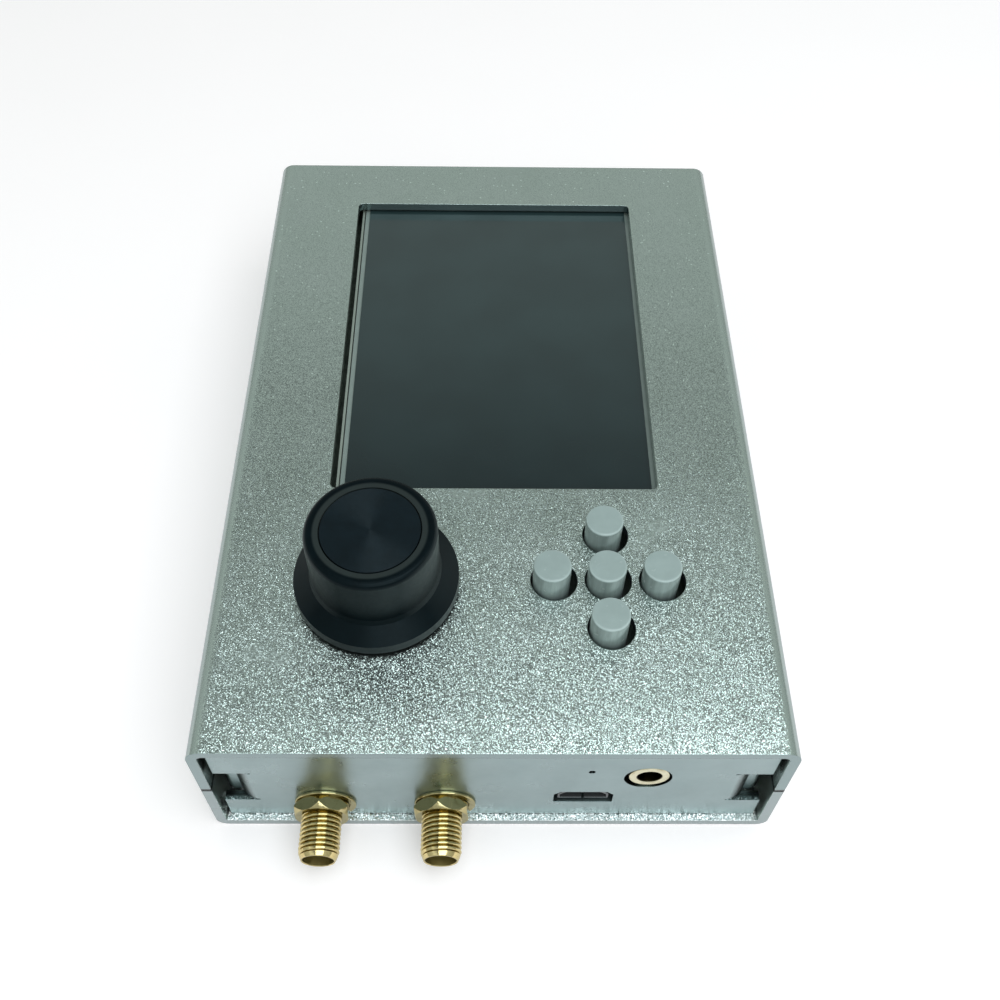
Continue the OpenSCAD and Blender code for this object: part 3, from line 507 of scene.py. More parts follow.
@dataclass(frozen=True)
class BlastedMetal(Finish):
    """Sand-blasted, clear anodised aluminium that sparkles on flat faces and is smoother on bends."""

    tilt: float = 0.2
    grain_mm: float = 0.14
    wall_shade: Colour = (0.46, 0.51, 0.54)
    painted_flank_shading: Colour = (0.62, 0.64, 0.65)
    # Painted light on faces that look straight along X.
    side: Colour = (2.9, 2.5, 2.35)
    seam: Vector = field(default_factory=Vector)
    seam_shadow_mm: float = 0.5
    speck_mm: float = 0.17
    specks: Point = (0.7, 1.3)
    glint_share: float = 0.004
    glint_light: float = 1.5
    fade_mm: Point = (-12.0, 20.0)
    far_specks: float = 0.12
    far_sparkle: float = 0.5
    edge_mm: Point = (-55.0, -61.0)
    front_highlight: float = 1.15
    worn_mm: float = 0.2

    def draw(self, graph: Graph) -> None:
        """Add the grain, its sparkle and faint handling marks, with painted light and shade on walls, seam
        and top.

        Args:
            graph: The material's node tree.
        """
        graph.set(Metallic=1.0)
        self.cloud(graph, graph.noise(self.grain_mm * 1.4, 1.0, 0.6), 0.965, 1.035, 0.34, 0.68)
        # Painted shade: faces that look sideways and outwards get a darker colour.
        graph.dim(graph.fade(graph.inward(Axis.X), self.painted_flank_shading, WHITE), graph.facing(Axis.X, 0.5, 0.8))
        graph.dim(graph.fade(graph.noise(9.0, 3.0), (0.97, 0.98, 0.97), WHITE, 0.35, 0.65))
        # Painted shade: faces that do not look up get a darker colour than the top.
        graph.dim(graph.fade(graph.facing(Axis.Z, 0.2, 0.7), self.wall_shade, WHITE))
        # Painted light: faces that look straight along X are lightened, more than undoing the painted shade
        # on them.
        graph.dim(graph.fade(graph.facing(Axis.X, 0.992, 0.998), WHITE, self.side))
        # Painted shadow: a dark line along the seam between the shells.
        height = graph.reach(self.seam, self.seam_shadow_mm, Measure.UPWARD)
        graph.dim(graph.fade(height, grey(0.06), WHITE, 0.7))
        top = graph.facing(Axis.Z, 0.94, 0.99)
        # Painted highlight: top faces lighten towards the front edge.
        graph.dim(graph.fade(graph.along(Axis.Y, self.edge_mm), WHITE, grey(self.front_highlight)), top)
        # Painted glints: a few grains on the top are made lighter.
        graph.dim(graph.painted_glints(self.grain_mm * 2, self.glint_share, self.glint_light), top)
        # Grain specks on the top; their contrast fading towards the back is painted light, standing in for
        # sparkle that is strongest at the front.
        dark, light = (grey(level) for level in self.specks)
        specks = graph.fade(graph.noise(self.speck_mm, 1.0, 0.6), dark, light, 0.35, 0.65)
        fading = graph.along(Axis.Y, self.fade_mm, 1.0, self.far_specks)
        graph.dim(specks, graph.calc("MULTIPLY", top, fading))
        graph.polish(graph.noise(14.0, 3.0), self.rough - 0.04, self.rough + 0.05)
        fading = graph.along(Axis.Y, self.fade_mm, 1.0, self.far_sparkle)
        graph.facets(self.grain_mm, self.tilt, graph.calc("MULTIPLY", top, fading), self.worn_mm)


@dataclass(frozen=True)
class SatinMetal(Finish):
    """Smooth sheet metal with fine rolling lines and soft smudges."""

    line_mm: float = 0.08
    line_stretch: Triple = (0.06, 1.0, 1.0)

    def draw(self, graph: Graph) -> None:
        """Add smudges and rolling lines.

        Args:
            graph: The material's node tree.
        """
        graph.set(Metallic=1.0)
        self.cloud(graph, graph.noise(7.0, 4.0, 0.6), 0.93, 1.05)
        graph.polish(graph.noise(5.0, 4.0), self.rough - 0.05, self.rough + 0.08)
        graph.bump(graph.noise(self.line_mm, at=graph.placed(Vector(), self.line_stretch)), 0.002)


@dataclass(frozen=True)
class PanelMetal(SatinMetal):
    """Satin sheet with coarse edges where it was sawn, painted shade at their back and a painted highlight
    at their front, and painted shade on its bends.
    """

    grain_mm: float = 0.13
    tilt: float = 0.45
    reach_mm: float = 40.0
    face_mm: float = 62.0
    lip_mm: float = 0.8
    bend_shade: float = 0.12
    lip_shade: Colour = (0.3, 0.28, 0.27)
    lip_highlight: float = 1.15
    worn_mm: float = 0.08
    saw_tones: Tuple[Point, ...] = ((0.36, 0.3), (0.52, 0.75), (0.66, 1.3))

    def draw(self, graph: Graph) -> None:
        """Add the sheet's finish, then grain on the cut edges, painted shade on the bends, and painted shade
        at the back of the cut edges turning to a painted highlight at the sheet's face.

        Args:
            graph: The material's node tree.
        """
        super().draw(graph)
        outer = graph.span(graph.reach(Vector(), self.reach_mm, Measure.ACROSS), 0.0, 1.0, 0.8, 0.82)
        cut = graph.calc("MULTIPLY", graph.facing(Axis.Z, 0.4, 0.6), outer)
        sawn = [(place, shade(self.colour, light)) for place, light in self.saw_tones]
        graph.lay(Blend.MIX, graph.ramp(graph.noise(self.grain_mm, 2.0, 0.7), sawn), cut)
        # Painted shade: faces that look sideways, such as the tab bends, are darkened.
        graph.dim(graph.fade(graph.facing(Axis.X, 0.15, 0.5), WHITE, grey(self.bend_shade)))
        depth = self.lip_mm / self.face_mm
        lip = graph.span(graph.reach(Vector(), self.face_mm, Measure.LENGTHWISE), 0.0, 1.0,
                         1.0 - depth, 1.0 - 0.4 * depth)
        # Painted shade at the back of the cut edges and a painted highlight at their front.
        graph.dim(graph.fade(lip, self.lip_shade, grey(self.lip_highlight)), cut)
        graph.facets(self.grain_mm, self.tilt, graph.calc("MULTIPLY", cut, lip), self.worn_mm)


@dataclass(frozen=True)
class PlatedMetal(Finish):
    """Bright plating with soft tarnish and tiny pits."""

    tarnish: Colour = (0.4, 0.28, 0.1)
    # Painted shade for faces that look sideways or down.
    under: Colour = WHITE

    def draw(self, graph: Graph) -> None:
        """Add tarnish clouds, painted shade on the sides and below, uneven polish and pits.

        Args:
            graph: The material's node tree.
        """
        graph.set(Metallic=1.0)
        tones = [(0.28, self.tarnish), (0.46, self.colour), (0.75, shade(self.colour, 1.08))]
        graph.tone(graph.ramp(graph.noise(1.6, 4.0, 0.65), tones))
        # Painted shade: faces that look sideways or down get a darker, greener tint.
        graph.dim(graph.fade(graph.facing(Axis.Z, -0.1, 0.75, True), self.under, WHITE))
        pits = graph.noise(0.5, 3.0)
        graph.polish(pits, self.rough - 0.05, self.rough + 0.1)
        graph.bump(pits, 0.003)


@dataclass(frozen=True)
class MouthMetal(PlatedMetal):
    """Plating with painted shade that grows from a jack's tip into its mouth."""

    tip_mm: float = 70.0
    depth_mm: float = 1.2
    mouth_shade: Colour = (0.4, 0.4, 0.36)

    def draw(self, graph: Graph) -> None:
        """Add the plating, then paint shade that grows with depth into the mouth.

        Args:
            graph: The material's node tree.
        """
        super().draw(graph)
        height = graph.reach(Vector(), self.tip_mm, Measure.LENGTHWISE)
        # Painted shade: the plating darkens from the mouth's rim into the mouth.
        graph.dim(graph.fade(height, self.mouth_shade, WHITE, 1.0 - self.depth_mm / self.tip_mm))


@dataclass(frozen=True)
class SleeveMetal(PlatedMetal):
    """Plating round a level bore, with painted shade inside the bore."""

    centre: Vector = field(default_factory=Vector)
    bore_mm: float = 1.95
    reach_mm: float = 4.0
    bore_shade: Colour = (0.03, 0.024, 0.012)

    def draw(self, graph: Graph) -> None:
        """Add the plating, then paint shade into the bore.

        Args:
            graph: The material's node tree.
        """
        super().draw(graph)
        share = self.bore_mm / self.reach_mm
        radius = graph.reach(self.centre, self.reach_mm, Measure.FROM_LEVEL_LINE)
        # Painted shade: the bore is darkened inside.
        graph.dim(graph.fade(radius, self.bore_shade, WHITE, share - 0.03, share))


@dataclass(frozen=True)
class AnodisedBlack(Finish):
    """Satin black anodised metal, turned or spun about an upright axis."""

    centre: Vector = field(default_factory=Vector)
    pitch_mm: float = 0.16
    depth_mm: float = 0.004
    gloss: float = 0.22
    spun: float = 0.0
    ring_mm: Tuple[float, ...] = ()
    ring_highlight: Colour = (0.024, 0.0285, 0.0265)
    reach_mm: float = 15.0
    painted_flank_shading: Colour = BLACK
    sheen: Colour = (0.72, 0.92, 1.0)

    def draw(self, graph: Graph) -> None:
        """Add turning marks, a soft, dusty bloom, a painted highlight on the flanks and on a turned ring.

        Args:
            graph: The material's node tree.
        """
        graph.set(Specular_IOR_Level=self.gloss, Specular_Tint=self.sheen, Anisotropic=self.spun,
                  Anisotropic_Rotation=0.25)
        around = graph.add("ShaderNodeTangent", direction_type="RADIAL", axis="Z")
        graph.link(around.outputs["Tangent"], graph.shader.inputs["Tangent"])
        self.cloud(graph, graph.noise(2.2, 4.0, 0.6), 0.8, 1.25)
        # Painted highlight: faces that look sideways are lightened as if they caught side light.
        graph.lay(Blend.ADD, graph.fade(graph.facing(Axis.X, 0.45, 0.95), BLACK, self.painted_flank_shading))
        # Painted highlight: a flat ring on the top is lightened as if it were a bevel catching the light.
        if self.ring_mm:
            tones = (BLACK, self.ring_highlight, self.ring_highlight, BLACK)
            stops = [(edge / self.reach_mm, tone) for edge, tone in zip(self.ring_mm, tones)]
            radius = graph.reach(self.centre, self.reach_mm, Measure.FROM_UPRIGHT_LINE)
            graph.lay(Blend.ADD, graph.ramp(radius, stops))
        graph.polish(graph.noise(0.6, 3.0), self.rough - 0.04, self.rough + 0.06)
        graph.bump(graph.rings(self.centre, self.pitch_mm), self.depth_mm)
        graph.bump(graph.noise(0.12), 0.002)


@dataclass(frozen=True)
class MouldedPlastic(Finish):
    """Moulded plastic with a fine matt texture."""

    grain_mm: float = 0.12
    depth_mm: float = 0.004

    def draw(self, graph: Graph) -> None:
        """Add the mould's texture and slight flow clouds.

        Args:
            graph: The material's node tree.
        """
        self.cloud(graph, graph.noise(2.5, 3.0), 0.94, 1.04)
        graph.polish(graph.noise(1.2, 3.0), self.rough - 0.05, self.rough + 0.06)
        graph.bump(graph.noise(self.grain_mm), self.depth_mm)


@dataclass(frozen=True)
class CapPlastic(MouldedPlastic):
    """Moulded button cap with painted light and shade round its rim and painted reflection streaks down its
    sides.
    """

    streak_mm: float = 0.95
    streak_stretch: Triple = (1.0, 1.0, 0.1)
    painted_rim_shading: Tuple[Point, ...] = ((0.0, 0.8), (0.3, 0.9), (0.55, 1.25), (0.9, 1.25), (0.99, 1.0))
    reflection_streak_tones: Tuple[Tuple[float, Colour], ...] = ((0.35, (0.86, 0.86, 0.85)), (0.52, WHITE),
                                                    (0.66, (1.13, 1.14, 1.12)))

    def draw(self, graph: Graph) -> None:
        """Add the plastic, then the painted light and shade of the rim and the painted reflection streaks.

        Args:
            graph: The material's node tree.
        """
        super().draw(graph)
        upward = graph.facing(Axis.Z, 0.0, 1.0)
        # Painted light and shade: the rounded rim is lightened and the sides darkened by how they face up.
        graph.dim(graph.ramp(upward, [(place, grey(light)) for place, light in self.painted_rim_shading]))
        # Painted reflection: upright streaks on the sides stand in for reflections of the top.
        reflection_streaks = graph.noise(self.streak_mm, 2.0, 0.6, graph.placed(Vector(), self.streak_stretch))
        graph.dim(graph.ramp(reflection_streaks, self.reflection_streak_tones), graph.span(upward, 1.0, 0.0, 0.2, 0.5))


@dataclass(frozen=True)
class ScreenFilm(Finish):
    """Unlit screen under its dark, glossy polariser, with painted shade towards its front end."""

    span_mm: Point = (-18.0, 52.0)
    front_end_shade: Colour = (0.44, 0.5, 0.53)

    def draw(self, graph: Graph) -> None:
        """Add a faint blotchy tint, painted shade towards the front end and finger smears.

        Args:
            graph: The material's node tree.
        """
        graph.set(Specular_IOR_Level=0.5, Coat_Weight=0.3, Coat_Roughness=0.08)
        self.cloud(graph, graph.noise(9.0, 2.0, 0.4), 0.92, 1.06, 0.35, 0.65)
        # Painted shade: the polariser gets darker towards its front end.
        graph.dim(graph.fade(graph.along(Axis.Y, self.span_mm), self.front_end_shade, WHITE, 0.0, 0.6))
        graph.polish(graph.noise(6.0, 4.0, 0.6), self.rough - 0.03, self.rough + 0.08)


@dataclass(frozen=True)
class CircuitBoard(Finish):
    """Solder mask over copper tracks."""

    track: Colour = (0.1, 0.13, 0.105)
    track_mm: float = 2.4
    track_edges: Point = (0.08, 0.14)

    def draw(self, graph: Graph) -> None:
        """Add tracks as a relief under the mask.

        Args:
            graph: The material's node tree.
        """
        graph.set(Specular_IOR_Level=0.5, Coat_Weight=0.2, Coat_Roughness=0.2)
        tracks = graph.cells(self.track_mm, "DISTANCE_TO_EDGE").outputs["Distance"]
        graph.tone(graph.fade(tracks, self.track, self.colour, *self.track_edges))
        graph.polish(graph.noise(3.0), self.rough - 0.05, self.rough + 0.05)
        graph.bump(graph.fade(tracks, WHITE, BLACK, *self.track_edges), 0.03)


@dataclass(frozen=True)
class Foam(Finish):
    """Closed-cell foam sheet."""

    pore_mm: float = 0.35

    def draw(self, graph: Graph) -> None:
        """Add open pores on the cut faces.

        Args:
            graph: The material's node tree.
        """
        pores = graph.cells(self.pore_mm).outputs["Distance"]
        self.cloud(graph, pores, 0.5, 1.0, 0.15, 0.5)
        graph.polish(graph.noise(1.0), self.rough - 0.04, self.rough + 0.02)
        graph.bump(pores, 0.08)


@dataclass(frozen=True)
class ClearMoulding(Finish):
    """Clear plastic with faint flow lines."""

    def draw(self, graph: Graph) -> None:
        """Add flow lines in a mostly clear body.

        Args:
            graph: The material's node tree.
        """
        graph.set(Transmission_Weight=0.7, IOR=1.49)
        flow = graph.noise(0.8, 3.0)
        self.cloud(graph, flow, 0.95, 1.0)
        graph.polish(flow, self.rough, self.rough + 0.08)
        graph.bump(flow, 0.004)


@dataclass(frozen=True)
class StudioFloor(Finish):
    """Pale seamless paper that glows a little."""

    glow: float = 0.24
    glow_tone: Colour = (0.98, 1.0, 1.0)

    def draw(self, graph: Graph) -> None:
        """Add the paper's tooth.

        Args:
            graph: The material's node tree.
        """
        graph.set(Specular_IOR_Level=0.1, Emission_Color=self.glow_tone, Emission_Strength=self.glow)
        self.cloud(graph, graph.noise(30.0, 3.0), 0.99, 1.0)
        graph.bump(graph.noise(0.5), 0.01)


def set_radius(vert: bmesh.types.BMVert, radius_mm: float) -> None:
    """Move a point level to a distance from the Z axis.

    Args:
        vert: The point.
        radius_mm: The distance in millimetres.
    """
    scale = radius_mm * MM / math.hypot(vert.co.x, vert.co.y)
    vert.co.x *= scale
    vert.co.y *= scale


class Mesh:
    """A bmesh on its way to becoming a piece of the radio."""

    def __init__(self) -> None:
        """Start with nothing in the mesh."""
        self.bm = bmesh.new()

    def outline(self, points: Sequence[Triple], closed: bool = False) -> List[bmesh.types.BMEdge]:
        """Chain of edges through points.

        Args:
            points: Places in millimetres.
            closed: Whether the last point joins the first.

        Returns:
            The new edges.
        """
        verts = [self.bm.verts.new(Vector(p) * MM) for p in points]
        pairs = list(zip(verts, verts[1:]))
        if closed:
            pairs.append((verts[-1], verts[0]))
        return [self.bm.edges.new(pair) for pair in pairs]

    def wind(self, edges: List[bmesh.types.BMEdge], steps: int, turns: int = 1,
             pitch_mm: float = 0.0) -> None:
        """Turn a chain of edges about the Z axis.

        Args:
            edges: The chain.
            steps: Number of steps in one turn.
            turns: Number of turns.
            pitch_mm: Climb in one turn, or 0 for a ring that closes on itself.
        """
        verts = list({v for e in edges for v in e.verts})
        bmesh.ops.spin(self.bm, geom=verts + edges, cent=(0, 0, 0), axis=(0, 0, 1),
                       angle=2 * math.pi * turns, dvec=(0, 0, pitch_mm * MM / steps),
                       steps=steps * turns, use_merge=not pitch_mm)
        self.clean()

    def clean(self, distance_mm: float = 0.0005) -> None:
        """Merge doubles and turn the faces outwards.

        Args:
            distance_mm: Distance within which points merge.
        """
        bmesh.ops.remove_doubles(self.bm, verts=self.bm.verts, dist=distance_mm * MM)
        bmesh.ops.recalc_face_normals(self.bm, faces=self.bm.faces)

    def block(self, low: Vector, high: Vector, edge_mm: float) -> None:
        """Rectangular block with eased edges.

        Args:
            low: Lowest corner in millimetres.
            high: Highest corner in millimetres.
            edge_mm: Width of the eased edge in millimetres.
        """
        made = bmesh.ops.create_cube(self.bm, size=1.0)["verts"]
        bmesh.ops.scale(self.bm, vec=(high - low) * MM, verts=made)
        bmesh.ops.translate(self.bm, vec=(low + high) * 0.5 * MM, verts=made)
        edges = list({e for v in made for e in v.link_edges})
        bmesh.ops.bevel(self.bm, geom=edges, offset=edge_mm * MM, segments=2, profile=0.5,
                        affect="EDGES", material=-1)

    def finish(self, name: str, place: Matrix, smooth_deg: float = 35.0) -> bpy.types.Object:
        """Make the object.

        Args:
            name: Name of the piece.
            place: Where the mesh goes in the radio.
            smooth_deg: Angle below which neighbouring faces shade as one.

        Returns:
            The new object, which sits at the origin.
        """
        self.bm.transform(place)
        limit = math.radians(smooth_deg)
        for face in self.bm.faces:
            face.smooth = True
        for edge in self.bm.edges:
            edge.smooth = len(edge.link_faces) == 2 and edge.calc_face_angle(0.0) < limit
        data = bpy.data.meshes.new(name)
        self.bm.to_mesh(data)
        self.bm.free()
        piece = bpy.data.objects.new(name, data)
        bpy.context.scene.collection.objects.link(piece)
        LOG.info("%s: %d faces", name, len(data.polygons))
        return piece


@dataclass
class SubAssembly:
    """A group of pieces that is built and dressed together."""

    nodes: Dict[str, bpy.types.Object]

    def dress(self, finish: bpy.types.Material, *names: str) -> None:
        """Give nodes a finish.

        Args:
            finish: The material.
            names: Names of the nodes.
        """
        for name in names:
            slots = self.nodes[name].data.materials
            slots.clear()
            slots.append(finish)
            LOG.info("%s: %s", name, finish.name)

    def ease(self, name: str, width_mm: float, weld_mm: float = 0.002, sharp_deg: float = 20.0) -> None:
        """Round a node's sharp edges.

        Args:
            name: Name of the node.
            width_mm: Width of the rounded edge in millimetres.
            weld_mm: Distance within which loose points join.
            sharp_deg: Angle from which an edge counts as sharp.
        """
        weld = self.nodes[name].modifiers.new("weld", "WELD")
        weld.merge_threshold = weld_mm * MM
        bevel = self.nodes[name].modifiers.new("edge", "BEVEL")
        bevel.width = width_mm * MM
        bevel.segments = 3
        bevel.limit_method = "ANGLE"
        bevel.angle_limit = math.radians(sharp_deg)

    def settle(self, piece: bpy.types.Object, slot: Slot, body: Body, *replaced: str) -> None:
        """Set a new piece on its body.

        Args:
            piece: The new piece.
            slot: Material slot of the record; not used.
            body: Body that it rides on.
            replaced: Nodes that it stands for.
        """
        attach(piece, body.value)
        if replaced:
            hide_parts(*replaced)


@dataclass
class Case(SubAssembly):
    """The two shells, the end panels and the screws that hold them."""

    def build(self) -> None:
        """Dress the shells, the panels and their screws."""
        seam = Vector((0.0, 0.0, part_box("top_shell")[0].z))
        face_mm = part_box("rear_panel")[1].y / MM
        lid = BlastedMetal("blasted_aluminium", (0.51, 0.595, 0.57), 0.23, tilt=0.2, grain_mm=0.118,
                           seam=seam)
        tray = BlastedMetal("coarse_aluminium", (0.88, 0.93, 0.92), 0.3, tilt=0.36, grain_mm=0.125,
                            wall_shade=(0.34, 0.38, 0.39), side=(2.25, 2.15, 2.0), seam=seam)
        panel = PanelMetal("satin_aluminium", (0.272, 0.35, 0.353), 0.3, face_mm=face_mm)
        zinc = SatinMetal("zinc_plate", (0.34, 0.35, 0.36), 0.3)
        self.dress(lid.make(), "top_shell")
        self.dress(tray.make(), "bottom_shell")
        self.dress(panel.make(), "front_panel", "rear_panel")
        self.dress(zinc.make(), "side_screws", "bottom_screws")


@dataclass
class CoaxialJack(SubAssembly):
    """One gold coaxial jack with a cut thread, built along +Z from its panel's back face."""

    node: str
    outward: float
    crest_r: float = 3.06
    root_r: float = 2.56
    pitch: float = 0.7056
    crest_width: float = 3.0
    flank_steps: int = 12
    turn_steps: int = 56
    spare_turns: int = 2
    thread_start: float = 3.2
    thread_end: float = 10.15
    taper_start: float = 9.3
    length: float = 10.5
    tip_r: float = 2.6
    mouth_r: float = 2.325
    core_r: float = 2.4
    seat: float = 8.7
    bore_r: float = 2.1
    barrel_steps: int = 96
    barrel_skin: float = 0.02
    barrel_lap: float = 0.6
    undercut: float = 0.1
    nose_lap: float = 0.3
    nose_steps: Tuple[Point, ...] = ((-0.12, -0.3), (-0.1, -0.05))
    tip_steps: Tuple[Point, ...] = ((0.08, -0.3), (0.02, -0.1), (-0.06, 0.0))
    mouth_steps: Tuple[Point, ...] = ((0.06, 0.0), (0.0, -0.08))
    flange: Triple = (8.0, 6.4, 1.7)
    flange_edge: float = 0.2
    prong: Triple = (1.1, 1.0, 4.0)
    prong_edge: float = 0.1
    prong_x: float = 2.6
    board_t: float = 1.6

    def place(self) -> Matrix:
        """Place of the jack's own axes in the radio.

        Returns:
            Matrix from the jack's axes to the radio's.
        """
        low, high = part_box(self.node)
        middle = (low + high) * 0.5
        tip_y = high.y if self.outward > 0 else low.y
        base = Vector((middle.x, tip_y - self.outward * self.length * MM, middle.z))
        return Matrix.Translation(base) @ Matrix.Rotation(-self.outward * math.pi / 2, 4, "X")

    def cone_r(self, height: float) -> float:
        """Radius of the tapered nose at a height past the taper's start.

        Args:
            height: Height in millimetres.

        Returns:
            The radius in millimetres.
        """
        share = (height - self.taper_start) / (self.length - self.taper_start)
        return self.crest_r + (self.tip_r - self.crest_r) * share

    def cut_thread(self, mesh: Mesh) -> None:
        """Wind one pitch of the thread's profile round the barrel and close its ends.

        Args:
            mesh: Mesh to add the thread to.
        """
        turns = math.ceil((self.thread_end - self.thread_start) / self.pitch) + self.spare_turns
        start = self.thread_start - self.pitch
        depth = self.crest_r - self.root_r
        profile = []
        for step in range(self.flank_steps + 1):
            share = step / self.flank_steps
            radius = self.crest_r - depth * abs(2 * share - 1) ** self.crest_width
            profile.append((radius, 0.0, start + share * self.pitch))
        mesh.wind(mesh.outline(profile), self.turn_steps, turns, self.pitch)
        for level, side in ((self.thread_start, -1.0), (self.thread_end, 1.0)):
            geom = list(mesh.bm.verts) + list(mesh.bm.edges) + list(mesh.bm.faces)
            bmesh.ops.bisect_plane(mesh.bm, geom=geom, plane_co=(0, 0, level * MM), plane_no=(0, 0, side),
                                   clear_outer=True)
        rim = [e for e in mesh.bm.edges if e.is_boundary]
        made = bmesh.ops.extrude_edge_only(mesh.bm, edges=rim)["geom"]
        for vert in (part for part in made if isinstance(part, bmesh.types.BMVert)):
            set_radius(vert, self.core_r)
        bmesh.ops.bridge_loops(mesh.bm, edges=[e for e in mesh.bm.edges if e.is_boundary])
        for vert in mesh.bm.verts:
            limit = self.cone_r(vert.co.z / MM)
            if limit < self.crest_r and math.hypot(vert.co.x, vert.co.y) > limit * MM:
                set_radius(vert, limit)

    def turn_barrel(self, mesh: Mesh) -> None:
        """Turn the barrel under the thread, its nose and its mouth.

        Args:
            mesh: Mesh to add the barrel to.
        """
        base, outer, under = -self.flange[2], self.root_r + self.barrel_skin, self.root_r - self.undercut
        step, nose = self.thread_start + self.barrel_lap, self.thread_end - self.nose_lap
        profile = [(self.bore_r, base), (outer, base), (outer, step), (under, step), (under, nose)]
        for radius, height, steps in ((self.cone_r(nose), self.thread_end, self.nose_steps),
                                      (self.tip_r, self.length, self.tip_steps),
                                      (self.mouth_r, self.length, self.mouth_steps)):
            profile += [(radius + out, height + up) for out, up in steps]
        profile += [(self.mouth_r, self.seat), (self.bore_r, self.seat)]
        ring = mesh.outline([(radius, 0.0, height) for radius, height in profile], True)
        mesh.wind(ring, self.barrel_steps)

    def add_foot(self, mesh: Mesh) -> None:
        """Add the square flange and the four prongs that hold the board.

        Args:
            mesh: Mesh to add them to.
        """
        x, y, thick = self.flange
        mesh.block(Vector((-x / 2, -y / 2, -thick)), Vector((x / 2, y / 2, 0.0)), self.flange_edge)
        reach = (self.board_t + self.prong[1]) / 2
        half = Vector(self.prong) / 2
        for side_x in (-1, 1):
            for side_y in (-1, 1):
                middle = Vector((side_x * self.prong_x, side_y * reach, -thick - half.z))
                mesh.block(middle - half, middle + half, self.prong_edge)

    def build(self, gold: bpy.types.Material, shaded_plate: bpy.types.Material) -> None:
        """Build the jack in place of its node.

        Args:
            gold: Finish of the plating on the barrel, a lighter copy of the gold as painted light.
            shaded_plate: Finish inside the mouth, a darker copy of the plating as painted shade.
        """
        mesh = Mesh()
        self.cut_thread(mesh)
        self.turn_barrel(mesh)
        self.add_foot(mesh)
        mesh.clean()
        inside = (self.mouth_r + 0.01) * MM
        for face in mesh.bm.faces:
            middle = face.calc_center_median()
            face.material_index = int(math.hypot(middle.x, middle.y) < inside)
        piece = mesh.finish(self.node + "_threaded", self.place())
        for finish in (gold, shaded_plate):
            piece.data.materials.append(finish)
        self.settle(piece, Slot.GOLD, Body.CASE, self.node)


@dataclass
class Jacks(SubAssembly):
    """All coaxial jacks with their nuts, washers, insulators and contacts, and the headphone sleeve."""

    def build(self) -> None:
        """Build the threaded barrels and dress the rest."""
        low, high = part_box("phones_sleeve")
        tip_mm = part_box("aerial_jack")[1].y / MM
        gold = PlatedMetal("gold_plate", (0.56, 0.475, 0.25), 0.12, tarnish=(0.36, 0.3, 0.14),
                           under=(0.48, 0.51, 0.42))
        # Painted light: the barrels get a lighter copy of the gold, so that they and their reflections in
        # the panel read lighter.
        lit_gold = PlatedMetal("lit_thread_gold", (0.76, 0.625, 0.31), 0.12, tarnish=(0.44, 0.34, 0.14),
                             under=(0.5, 0.5, 0.4)).make()
        pale = SleeveMetal("pale_gold", (0.66, 0.62, 0.44), 0.3, tarnish=(0.5, 0.45, 0.28),
                           centre=(low + high) * 0.5)
        # Painted shade: inside the mouths a darker copy of the gold, which darkens further into the mouth.
        shaded_plate = MouthMetal("shaded_mouth_plate", (0.46, 0.39, 0.18), 0.35, tarnish=(0.34, 0.28, 0.12),
                          tip_mm=tip_mm).make()
        for node, outward in (("clock_in_jack", -1.0), ("clock_out_jack", -1.0), ("aerial_jack", 1.0)):
            CoaxialJack(self.nodes, node, outward).build(lit_gold, shaded_plate)
        self.dress(gold.make(), "jack_nuts", "jack_washers", "jack_contacts")
        self.dress(pale.make(), "phones_sleeve")
        # Tan rather than white: painted shade for insulators that sit in the jack mouths, with an aged
        # yellow tint.
        self.dress(MouldedPlastic("jack_insulator", (0.62, 0.55, 0.34), 0.5).make(), "jack_insulators")
        for node, width_mm in (("jack_nuts", 0.05), ("jack_washers", 0.16), ("phones_sleeve", 0.18)):
            self.ease(node, width_mm)


@dataclass
class Knob(SubAssembly):
    """The tuning knob on its encoder."""

    def build(self) -> None:
        """Dress the turned body, the spun disc and the encoder."""
        low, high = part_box("knob_disc")
        centre = (low + high) * 0.5
        body = AnodisedBlack("knob_turned", (0.0011, 0.0038, 0.0052), 0.34, centre, pitch_mm=0.12,
                             depth_mm=0.002, gloss=0.11, ring_mm=(7.2, 7.35, 7.95, 8.25),
                             painted_flank_shading=(0.036, 0.041, 0.041))
        disc = AnodisedBlack("knob_spun", (0.0031, 0.0072, 0.0104), 0.34, centre, gloss=0.26, spun=0.85)
        steel = SatinMetal("encoder_steel", (0.52, 0.52, 0.54), 0.3)
        push = MouldedPlastic("encoder_push", (0.03, 0.03, 0.034), 0.45)
        self.dress(body.make(), "knob")
        self.dress(disc.make(), "knob_disc")
        self.dress(steel.make(), "encoder_housing", "encoder_nut", "encoder_washer", "encoder_shaft",
                   "knob_grub_screw")
        self.dress(push.make(), "encoder_plunger")


@dataclass
class Buttons(SubAssembly):
    """The cross of five push buttons and their switches, and the two rear buttons."""

    directions: Tuple[str, ...] = ("up", "down", "left", "right", "centre")

    def build(self) -> None:
        """Dress caps, plungers and switch housings."""
        cap = CapPlastic("cap_grey", (0.335, 0.41, 0.4), 0.22)
        white = MouldedPlastic("plunger_white", (0.75, 0.75, 0.72), 0.45)
        black = MouldedPlastic("switch_black", (0.025, 0.025, 0.028), 0.4)
        self.dress(cap.make(), *("cap_" + d for d in self.directions))
        self.dress(white.make(), *("plunger_" + d for d in self.directions))
        self.dress(black.make(), "switch_housings", "rear_switch_housings", "reset_button", "service_button")


